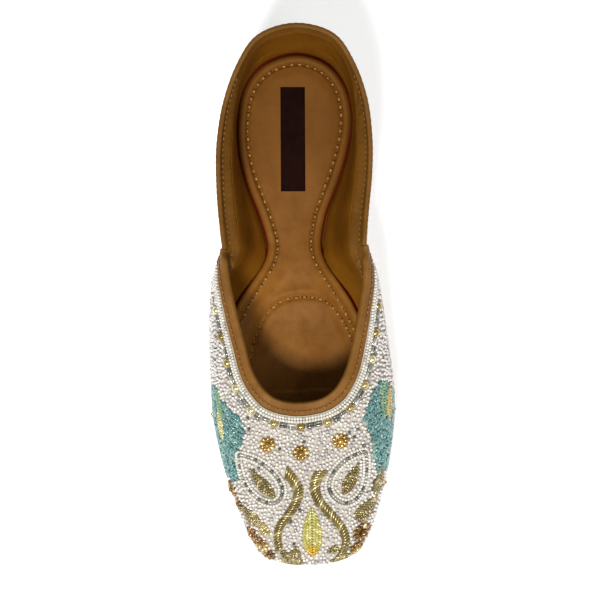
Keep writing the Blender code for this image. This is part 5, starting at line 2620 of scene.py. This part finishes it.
@dataclass(frozen=True)
class Leaf:
    """A pointed leaf filled with slanting bugle beads."""

    base: tuple[float, float]
    tip: tuple[float, float]
    width: float
    kind: Kind
    tip_kind: Kind | None = None


@dataclass
class Beadwork(SubAssembly):
    """The vamp's cloth and everything embroidered on it."""

    view: PhotoView = field(default_factory=PhotoView)
    seed: int = 11
    cloth_thickness: float = 0.45 * MM
    pearl: float = 1.62 * MM
    pearl_length: float = 1.34 * MM
    pearl_spacing: float = 1.5 * MM
    row_pitch: float = 1.42 * MM
    bugle_width: float = 1.35 * MM
    longest_bugle: float = 2.6 * MM
    petal: float = 2.3 * MM
    tries: int = 48000
    row_drops: tuple[float, float] = (1.3 * MM, 2.9 * MM)
    garland_drop: float = 5.4 * MM
    garland_middle: float = 16.93
    garland_step: float = 12.9 * MM
    garland_steps: int = 6
    stone: float = 4.5 * MM
    florets: Chart = ((221.7, 406.3), (244.5, 411.9), (271.2, 403.5))
    left_turquoise: Chart = (
        (186.0, 368.0), (190.0, 374.0), (196.0, 383.0), (203.0, 388.0), (206.0, 396.0),
        (204.5, 405.0), (201.0, 412.0), (202.0, 424.0), (202.5, 432.0), (197.0, 428.0),
        (192.5, 421.0), (189.0, 411.0), (186.0, 402.0), (184.0, 392.0), (183.0, 378.0),
    )
    right_turquoise: Chart = (
        (298.0, 364.0), (303.0, 366.0), (309.0, 380.0), (308.0, 395.0), (305.0, 410.0),
        (301.0, 422.0), (296.0, 424.0), (294.2, 416.0), (293.2, 407.0), (290.5, 397.0),
        (286.8, 389.0), (290.0, 379.0), (293.0, 371.0),
    )
    left_paisley: Chart = (
        (201.5, 412.0), (209.5, 412.5), (218.5, 416.5), (228.0, 424.5), (233.8, 434.5),
        (232.5, 443.5), (225.5, 448.0), (216.0, 445.0), (208.0, 437.0), (203.0, 425.0),
    )
    right_paisley: Chart = (
        (288.8, 409.5), (280.0, 411.0), (270.5, 417.0), (263.0, 426.5), (261.3, 436.0),
        (266.0, 444.0), (274.5, 447.8), (283.0, 444.0), (288.6, 434.0), (290.3, 421.0),
    )
    left_rope: Chart = (
        (234.7, 425.4), (239.5, 431.0), (242.6, 437.5), (240.8, 446.0), (235.6, 454.5),
        (230.6, 461.0), (228.6, 468.5), (229.8, 477.0),
    )
    right_rope: Chart = (
        (258.0, 424.6), (254.4, 431.0), (254.2, 438.5), (257.5, 446.0), (263.5, 452.5),
        (269.5, 459.0), (273.8, 467.0), (274.4, 474.5), (270.5, 482.0),
    )
    stamps: dict[Kind, Stamp] = field(default_factory=dict)
    spots: Spots = field(default_factory=Spots)

    def leaves(self) -> tuple[Leaf, ...]:
        """The leaves seen from above.

        Returns:
            The leaves.
        """
        return (
            Leaf((210.0, 423.0), (226.5, 442.0), 6.2, Kind.GOLD_BUGLE),
            Leaf((283.0, 419.0), (273.0, 440.0), 6.2, Kind.GOLD_BUGLE),
            Leaf((251.6, 448.5), (252.4, 481.5), 9.6, Kind.YELLOW, Kind.AMBER),
            Leaf((189.4, 381.0), (192.2, 403.0), 5.6, Kind.YELLOW),
            Leaf((187.8, 366.0), (191.5, 388.0), 5.8, Kind.GREEN),
            Leaf((299.0, 363.0), (300.0, 388.0), 4.6, Kind.GREEN),
            Leaf((303.2, 365.0), (303.4, 389.0), 6.4, Kind.AMBER),
            Leaf((205.0, 447.5), (214.5, 459.5), 8.0, Kind.GOLD_BUGLE),
            Leaf((216.0, 456.5), (222.5, 468.0), 4.8, Kind.PALE_BUGLE),
            Leaf((229.0, 486.5), (247.0, 485.5), 5.4, Kind.GOLD_BUGLE),
            Leaf((231.0, 477.5), (238.0, 485.0), 6.8, Kind.GOLD_BUGLE),
            Leaf((241.5, 474.5), (239.5, 485.5), 6.0, Kind.GOLD_BUGLE),
            Leaf((295.5, 440.0), (281.5, 457.0), 9.0, Kind.GOLD_BUGLE),
            Leaf((299.4, 420.5), (294.0, 440.0), 8.6, Kind.GOLD_BUGLE),
            Leaf((261.5, 478.5), (270.0, 476.0), 4.8, Kind.GOLD_BUGLE),
            Leaf((264.0, 486.0), (278.5, 481.5), 6.4, Kind.GOLD_BUGLE),
        )

    def blooms(self) -> tuple[tuple[float, float, float, Kind], ...]:
        """Flowers of cut beads: chart place, diameter in millimetres and kind.

        Returns:
            The flowers.
        """
        return (
            *((u, v, 8.4, Kind.GOLD_SEED) for u, v in self.florets),
            (199.0, 436.0, 7.8, Kind.COPPER_SEED),
            (203.0, 446.0, 6.4, Kind.COPPER_SEED),
            (212.0, 466.5, 8.2, Kind.COPPER_SEED),
            (217.5, 474.0, 9.0, Kind.COPPER_SEED),
            (223.0, 480.5, 6.6, Kind.COPPER_SEED),
            (285.6, 465.5, 11.0, Kind.COPPER_SEED),
            (281.6, 476.0, 7.4, Kind.COPPER_SEED),
            (275.0, 474.5, 5.0, Kind.OLIVE_SEED),
        )

    def build(self) -> None:
        """Makes the cloth, sets the charted work, then fills the ground with pearls."""
        self.face = self.make_cloth()
        self.throat_rows()
        self.make_edge_tape()
        self.set_garland()
        self.set_paisleys()
        for chart in (self.left_rope, self.right_rope):
            self.set_rope(chart)
        for leaf in self.leaves():
            self.set_leaf(leaf)
        for u, v, width, kind in self.blooms():
            place, out = self.view.place(self.face, u, v)
            self.set_bloom(place, out, width * MM, kind)
        self.side_work()
        self.set_turquoise()
        self.fill_ground()
        self.finish_beads()

    def climb_of(self, turn: np.ndarray, share: np.ndarray) -> np.ndarray:
        """Climb of a row of the cloth."""
        form = self.form
        return blend(form.margin(turn), form.length(turn) - self.size.throat_show - 0.1 * MM, share)

    def make_cloth(self) -> Surface:
        """The white cloth that carries the beads, from the lasting margin to the binding.

        Returns:
            The cloth's face, to set beads on.
        """
        form = self.form
        size = self.size
        rows, columns = 44, 250
        shares = np.linspace(0, 1, rows)
        reach = size.rear_leg + size.gap
        cut = Cut(size.vamp_edge_top + reach, size.vamp_edge_foot + reach)
        starts = form.crossing(cut, self.climb_of, shares, True)
        ends = form.crossing(cut, self.climb_of, shares, False)
        turns = column_turns(starts, ends, np.linspace(0, 1, columns))
        climb = self.climb_of(turns, shares[None, :])
        self.turns, self.climbs = turns, climb
        low = form.skin(turns, climb, size.gap)
        high = form.skin(turns, climb, size.gap + self.cloth_thickness)
        made = tube("vamp_cloth", two_faced(high, low), closed=False)
        dress(made, BACKING_CLOTH)
        self.keep(made, "beaded_cloth", "vamp_beadwork")
        return Surface(high)

    def set_bead(
        self, kind: Kind, place: np.ndarray, axis: np.ndarray, out: np.ndarray,
        length: float, width: float, sunk_in: float = 0.1,
    ) -> None:
        """Sets one bead on the cloth.

        Args:
            kind: Which bead.
            place: Point of the cloth under it.
            axis: The way its hole runs.
            out: The way out of the cloth.
            length: Its length.
            width: Its thickness.
            sunk_in: Share of the thickness that lies in the cloth.
        """
        stamp = self.stamps.setdefault(kind, Stamp(kind.value[1].shape()))
        axis = unit(axis - (axis @ out) * out)
        stamp.add(place + out * width * (0.5 - sunk_in), axis, out, length, width)
        count = max(1, round(length / width))
        for k in range(count):
            shift = (k + 0.5) / count - 0.5
            self.spots.take(place + axis * length * shift, width * 0.5)

    def set_row(
        self, kind: Kind, path: np.ndarray, pitch: float, length: float, width: float,
        slant: float = 0.0,
    ) -> None:
        """Sets beads along a line on the cloth, turned from its direction by slant.

        Args:
            kind: Which bead.
            path: The path's points, one row each.
            pitch: Distance between points.
            length: Its length.
            width: Its thickness.
            slant: Its angle to the line.
        """
        line = respaced(path, pitch)
        for i, point in enumerate(line):
            place, out = self.face.nearest(point)
            ahead = line[min(i + 1, len(line) - 1)] - line[max(i - 1, 0)]
            side = np.cross(out, unit(ahead))
            axis = unit(ahead) * math.cos(slant) + side * math.sin(slant)
            self.set_bead(kind, place, axis, out, length, width)

    def throat_rows(self) -> None:
        """A double row of pearls along the binding, and one down each rear edge."""
        form = self.form
        size = self.size
        reach = size.rear_leg + size.gap
        cut = Cut(size.vamp_edge_top + reach, size.vamp_edge_foot + reach)
        for drop in self.row_drops:
            def down(turn: np.ndarray, _: np.ndarray, drop: float = drop) -> np.ndarray:
                """The table's values between its own places."""
                return form.length(turn) - size.throat_show - drop

            start = form.crossing(cut, down, np.zeros(1), True)[0] + 0.1
            end = form.crossing(cut, down, np.zeros(1), False)[0] - 0.1
            turns = np.linspace(start, end, 700)
            path = form.skin(turns, down(turns, turns), size.gap + self.cloth_thickness)
            self.set_row(Kind.ROW, path, self.row_pitch, self.pearl_length, self.pearl)
        for column in (3, -4):
            path = form.skin(self.turns[column], self.climbs[column], size.gap + self.cloth_thickness)
            self.set_row(Kind.ROW, path[:-4], self.row_pitch, self.pearl_length, self.pearl)

    def make_edge_tape(self) -> None:
        """The thin cream edge of tape that shows between binding and pearls round the front."""
        form = self.form
        size = self.size
        turns = np.linspace(10.4, 23.6, 420)[:, None]
        radius = 0.34 * MM
        angles = (np.arange(8) * math.pi / 4)[None, :]
        ends = np.minimum(turns - turns[0], turns[-1] - turns)
        depth = 1.3 * MM - 1.2 * MM * (1 - ease(ends, 0.0, 1.2))
        climb = form.length(turns) - size.throat_show - 0.3 * MM + radius * np.cos(angles)
        around = turns + 0 * angles
        made = tube("throat_edge_tape", form.skin(around, climb, depth + radius * np.sin(angles)), False)
        dress(made, CREAM_CLOTH)
        self.keep(made, "beaded_cloth")

    def set_garland(self) -> None:
        """Cut stones in a line under the pearls, with pairs of clear bugles between them."""
        form = self.form
        turns = np.linspace(8.3, 25.7, 1400)
        climb = form.length(turns) - self.size.throat_show - self.garland_drop
        path = form.skin(turns, climb, self.size.gap + self.cloth_thickness)
        lengths = lengths_along(path)
        middle = float(np.interp(self.garland_middle, turns, lengths))

        def at(distance: float) -> np.ndarray:
            """The point at a distance along the line."""
            return np.array([np.interp(distance, lengths, path[:, k]) for k in range(3)])

        gap = 0.5 * MM
        bugle = (self.garland_step - self.stone - gap) / 2
        for k in range(-self.garland_steps, self.garland_steps + 1):
            here = middle + k * self.garland_step
            if not self.stone < here < lengths[-1] - self.stone:
                continue
            place, out = self.face.nearest(at(here))
            run = at(here + MM) - at(here - MM)
            self.set_bead(Kind.STONE, place, run, out, self.stone * 0.9, self.stone, 0.4)
            for part in (0.5, 1.5):
                centre = here + (self.stone + gap) / 2 + bugle * part
                if centre > lengths[-1] - bugle:
                    continue
                place, out = self.face.nearest(at(centre))
                run = at(centre + MM) - at(centre - MM)
                side = unit(np.cross(out, run))
                thick = self.bugle_width
                for way in (-0.5, 0.5):
                    spot, spot_out = self.face.nearest(place + side * way * (thick + 0.08 * MM))
                    self.set_bead(Kind.SMOKE_BUGLE, spot, run, spot_out, bugle * 0.94, thick)

    def inset_loop(self, path: np.ndarray, inset: float) -> np.ndarray:
        """A closed line on the cloth moved inwards, without the parts that would fold over.

        Args:
            path: The path's points, one row each.
            inset: How far it moves.

        Returns:
            The new line.
        """
        middle = path.mean(axis=0)
        _, out = self.face.nearest(middle)
        ahead = np.roll(path, -1, axis=0) - np.roll(path, 1, axis=0)
        side = unit(np.cross(out, ahead))
        if float(np.einsum("ij,ij->i", side, middle - path).sum()) < 0:
            side = -side
        moved = path + side * inset
        loop = np.concatenate([path, path[:1]])
        kept = moved[nearness(moved, loop) > inset * 0.97]
        return np.concatenate([kept, kept[:1]])

    def set_paisleys(self) -> None:
        """Two paisleys of three rows each: pearls, silver-lined glass and pearls."""
        for chart in (self.left_paisley, self.right_paisley):
            path, _ = self.view.path(self.face, list(chart), closed=True)
            loop = np.concatenate([path, path[:1]])
            self.set_row(Kind.ROW, loop, self.row_pitch, self.pearl_length, self.pearl)
            ring = self.inset_loop(path, 1.65 * MM)
            self.set_row(Kind.CLEAR_BUGLE, ring, 1.9 * MM, 1.45 * MM, 1.45 * MM)
            ring = self.inset_loop(path, 3.3 * MM)
            self.set_row(Kind.ROW, ring, self.row_pitch, self.pearl_length, self.pearl)

    def set_rope(self, chart: Chart) -> None:
        """A tapering band of gold bugles laid aslant side by side.

        Args:
            chart: Places in the view from above.
        """
        path, _ = self.view.path(self.face, list(chart))
        line = respaced(path, 1.5 * MM)
        slant = math.radians(52)
        for i, point in enumerate(line):
            place, out = self.face.nearest(point)
            ahead = unit(line[min(i + 1, len(line) - 1)] - line[max(i - 1, 0)])
            side = np.cross(out, ahead)
            length = blend(6.6 * MM, 4.2 * MM, i / len(line))
            axis = ahead * math.cos(slant) - side * math.sin(slant)
            self.set_bead(Kind.GOLD_BUGLE, place, axis, out, length, 1.35 * MM)

    def set_leaf(self, leaf: Leaf) -> None:
        """A leaf between two chart places."""
        base, _ = self.view.place(self.face, *leaf.base)
        tip, _ = self.view.place(self.face, *leaf.tip)
        self.lay_leaf(base, tip, leaf.width * MM, leaf.kind, leaf.tip_kind)

    def lay_leaf(
        self, base: np.ndarray, tip: np.ndarray, width: float, kind: Kind,
        tip_kind: Kind | None = None,
    ) -> None:
        """Fills a leaf with bugles that slant from its midrib.

        Args:
            base: Its foot.
            tip: Its point.
            width: Its thickness.
            kind: Which bead.
            tip_kind: The bead used near its point, if another.
        """
        run = tip - base
        reach = float(np.linalg.norm(run))
        thick = 1.3 * MM
        count = max(3, round(reach / (thick * 1.12)))
        slant = math.radians(40)
        for i in range(count):
            share = (i + 0.5) / count
            half = width / 2 * math.sin(math.pi * share**0.85) ** 0.8
            place, out = self.face.nearest(base + run * share)
            side = unit(np.cross(out, run))
            used = tip_kind if tip_kind and share > 0.74 else kind
            if half < 1.0 * MM:
                self.set_bead(used, place, run, out, 1.7 * MM, thick)
                continue
            for way in (-1, 1):
                length = half / math.cos(slant) * 0.96
                axis = side * way * math.cos(slant) + unit(run) * math.sin(slant)
                parts = math.ceil(length / self.longest_bugle)
                for part in range(parts):
                    spot = place + axis * length * ((part + 0.5) / parts + 0.03)
                    bead, bead_out = self.face.nearest(spot)
                    self.set_bead(used, bead, axis, bead_out, length / parts * 0.94, thick)

    def set_bloom(self, place: np.ndarray, out: np.ndarray, width: float, kind: Kind) -> None:
        """A flower: a round middle bead with slim petals set close round it.

        Args:
            place: Its place.
            out: The way out of the surface.
            width: Its thickness.
            kind: Which bead.
        """
        aside = unit(np.cross(out, np.array([0.3, 1.0, 0.2])))
        other = np.cross(out, aside)
        heart = width * 0.36
        petal = (width - heart) / 2
        ring = heart / 2 + petal / 2 - 0.1 * MM
        slim = min(self.petal, petal) * 0.86
        count = max(6, round(2 * math.pi * ring / slim))
        self.set_bead(kind, place, aside, out, heart * 0.9, heart, 0.0)
        for k in range(count):
            angle = 2 * math.pi * k / count
            way = aside * math.cos(angle) + other * math.sin(angle)
            bead_place, bead_out = self.face.nearest(place + way * ring)
            self.set_bead(kind, bead_place, way, bead_out, petal, slim)

    def side_work(self) -> None:
        """Flowers and leaves low on the vamp's sides, which are hidden from above."""
        form = self.form
        rows = (
            (8.7, 0.42, "bloom"), (9.35, 0.30, "leaf"), (10.1, 0.22, "bloom"), (10.9, 0.16, "leaf"),
            (11.8, 0.17, "bloom"), (12.7, 0.14, "leaf"), (13.6, 0.14, "bloom"),
            (25.3, 0.42, "bloom"), (24.65, 0.30, "leaf"), (23.9, 0.22, "bloom"), (23.1, 0.16, "leaf"),
            (22.2, 0.17, "bloom"), (21.3, 0.14, "leaf"), (20.4, 0.14, "bloom"),
        )
        for turn, share, what in rows:
            spot = np.array([turn])
            climb = self.climb_of(spot, np.array([share]))
            place, out = self.face.nearest(form.skin(spot, climb, self.size.gap)[0])
            if what == "bloom":
                self.set_bloom(place, out, 6.4 * MM, Kind.GOLD_SEED)
                continue
            ahead = form.skin(spot + 0.5, climb)[0] - form.skin(spot - 0.5, climb)[0]
            half = unit(ahead) * 4.5 * MM
            self.lay_leaf(place - half, place + half, 4.6 * MM, Kind.COPPER_BUGLE)

    def candidates(self, rng: np.random.Generator, count: int) -> tuple[np.ndarray, np.ndarray]:
        """Places spread evenly over the cloth, with the ways out of it.

        Args:
            rng: The source of chance.
            count: How many.

        Returns:
            The places and the ways out.
        """
        form = self.form
        points = form.skin(self.turns, self.climbs, self.size.gap + self.cloth_thickness)
        across = np.linalg.norm(points[1:, :-1] - points[:-1, :-1], axis=2)
        up = np.linalg.norm(points[:-1, 1:] - points[:-1, :-1], axis=2)
        area = (across * up).ravel()
        chosen = rng.choice(len(area), size=count, p=area / area.sum())
        rows = self.turns.shape[1] - 1
        i, j = chosen // rows, chosen % rows
        a, b = rng.random(count), rng.random(count)

        def mixed(values: np.ndarray) -> np.ndarray:
            """Values at the chosen places."""
            low = blend(values[i, j], values[i + 1, j], a)
            high = blend(values[i, j + 1], values[i + 1, j + 1], a)
            return blend(low, high, b)

        turns, climbs = mixed(self.turns), mixed(self.climbs)
        places = form.skin(turns, climbs, self.size.gap + self.cloth_thickness)
        return places, form.normal(turns, climbs)

    def flow(self, place: np.ndarray) -> np.ndarray:
        """The direction in which ground beads run at a place, in slow swirls."""
        x, y, z = place / (9 * MM)
        angle = 2.6 * math.sin(x + 1.7 * math.sin(y * 0.7)) + 2.1 * math.cos(y * 1.1 - z + x * 0.6)
        return np.array([math.cos(angle), math.sin(angle), 0.3 * math.sin(angle * 2)])

    def set_turquoise(self) -> None:
        """Two patches of turquoise bugles laid in all directions."""
        rng = np.random.default_rng(self.seed)
        places, outs = self.candidates(rng, self.tries // 2)
        seen = self.view.seen_at(places)
        upward = outs[:, 2] > -0.15
        within = np.zeros(len(places), dtype=bool)
        for chart in (self.left_turquoise, self.right_turquoise):
            within |= inside_outline(seen, smooth_path(np.array(chart), 6, True))
        for index in np.flatnonzero(within & upward):
            place, out = places[index], outs[index]
            if not self.spots.free(place, 0.34 * MM):
                continue
            angle = rng.random() * math.pi
            axis = np.array([math.cos(angle), math.sin(angle), 0.0])
            self.set_bead(Kind.TURQUOISE, place, axis, out, 2.7 * MM, 1.4 * MM)

    def fill_ground(self) -> None:
        """Pearls over all the cloth that is still bare."""
        rng = np.random.default_rng(self.seed + 1)
        places, outs = self.candidates(rng, self.tries)
        half = self.pearl_spacing / 2
        for place, out in zip(places, outs):
            if not self.spots.free(place, half - 0.03 * MM):
                continue
            kind = Kind.CLEAR_SEED if rng.random() < 0.03 else Kind.PEARL
            width = self.pearl * (0.92 + 0.16 * rng.random())
            axis = self.flow(place) + rng.normal(0, 0.25, 3)
            self.set_bead(kind, place, axis, out, self.pearl_length, width)

    def finish_beads(self) -> None:
        """Joins the beads of each kind, in pieces of a bounded number of triangles."""
        most = 180000
        for kind, stamp in self.stamps.items():
            shape = stamp.shape
            each = 2 * len(shape.quads) + sum(len(end) - 2 for end in shape.ends)
            count = len(stamp.middles)
            parts = math.ceil(count * each / most)
            for part in range(parts):
                first, last = count * part // parts, count * (part + 1) // parts
                name = f"{kind.name.lower()}_beads" + (f"_{part + 1}" if parts > 1 else "")
                made = stamp.object(name, first, last)
                dress(made, kind.value[0])
                self.keep(made, "beaded_cloth")


@dataclass
class Studio:
    """The floor, the lights and the camera over the shoe."""

    view: PhotoView = field(default_factory=PhotoView)
    lens: float = 120.0
    sensor: float = 36.0

    def build(self) -> None:
        """Makes the floor, the lights and the camera."""
        self.make_floor()
        self.make_lights()
        self.make_camera()

    def make_floor(self) -> None:
        """A wide pale floor."""
        half = 3.0
        mesh = bpy.data.meshes.new("studio_floor")
        corners = [(-half, -half, 0), (half, -half, 0), (half, half, 0), (-half, half, 0)]
        mesh.from_pydata(corners, [], [(0, 1, 2, 3)])
        floor = bpy.data.objects.new("studio_floor", mesh)
        bpy.context.scene.collection.objects.link(floor)
        mesh.materials.append(FLOOR.material())

    def make_light(
        self, name: str, place: tuple[float, float, float], width: float, power: float
    ) -> None:
        """A square soft light that faces the shoe.

        Args:
            name: Its name.
            place: Its place.
            width: Its thickness.
            power: Its watts.
        """
        data = bpy.data.lights.new(name, "AREA")
        data.size = width
        data.energy = power
        light = bpy.data.objects.new(name, data)
        light.location = place
        light.rotation_euler = (Vector(place)).to_track_quat("Z", "Y").to_euler()
        bpy.context.scene.collection.objects.link(light)

    def make_lights(self) -> None:
        """A key light from above, the toe and the outer side, with softer ones round it."""
        self.make_light("key_light", (-0.26, -0.62, 1.3), 0.3, 19.5)
        self.make_light("fill_light", (0.85, -0.35, 1.2), 1.0, 5.0)
        self.make_light("heel_light", (0.1, 1.3, 0.7), 0.8, 0.8)
        world = bpy.data.worlds.new("studio_air")
        world.use_nodes = True
        background = world.node_tree.nodes["Background"]
        background.inputs["Color"].default_value = (1.0, 1.0, 1.0, 1.0)
        background.inputs["Strength"].default_value = 0.22
        bpy.context.scene.world = world
        bpy.context.scene.view_settings.view_transform = "Standard"

    def make_camera(self) -> None:
        """A camera straight above, rolled as the photograph was, with the shoe in its middle."""
        data = bpy.data.cameras.new("camera")
        data.lens = self.lens
        data.sensor_width = self.sensor
        camera = bpy.data.objects.new("camera", data)
        camera.location = (0.0, 0.0, self.view.eye_height)
        camera.rotation_euler = (0.0, 0.0, -self.view.roll)
        bpy.context.scene.collection.objects.link(camera)
        bpy.context.scene.camera = camera


def main() -> None:
    """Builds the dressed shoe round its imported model."""
    logging.basicConfig(level=logging.INFO, format="%(name)s %(message)s")
    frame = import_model()
    LOG.info("the model has %d nodes", len(frame["nodes"]))
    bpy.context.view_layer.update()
    form = Form(Sizes())
    for group in (Bottom(form), Upper(form), Sock(form), Beadwork(form)):
        group.build()
        for piece in group.pieces:
            piece.register()
    Studio().build()


if __name__ == "__main__":
    main()
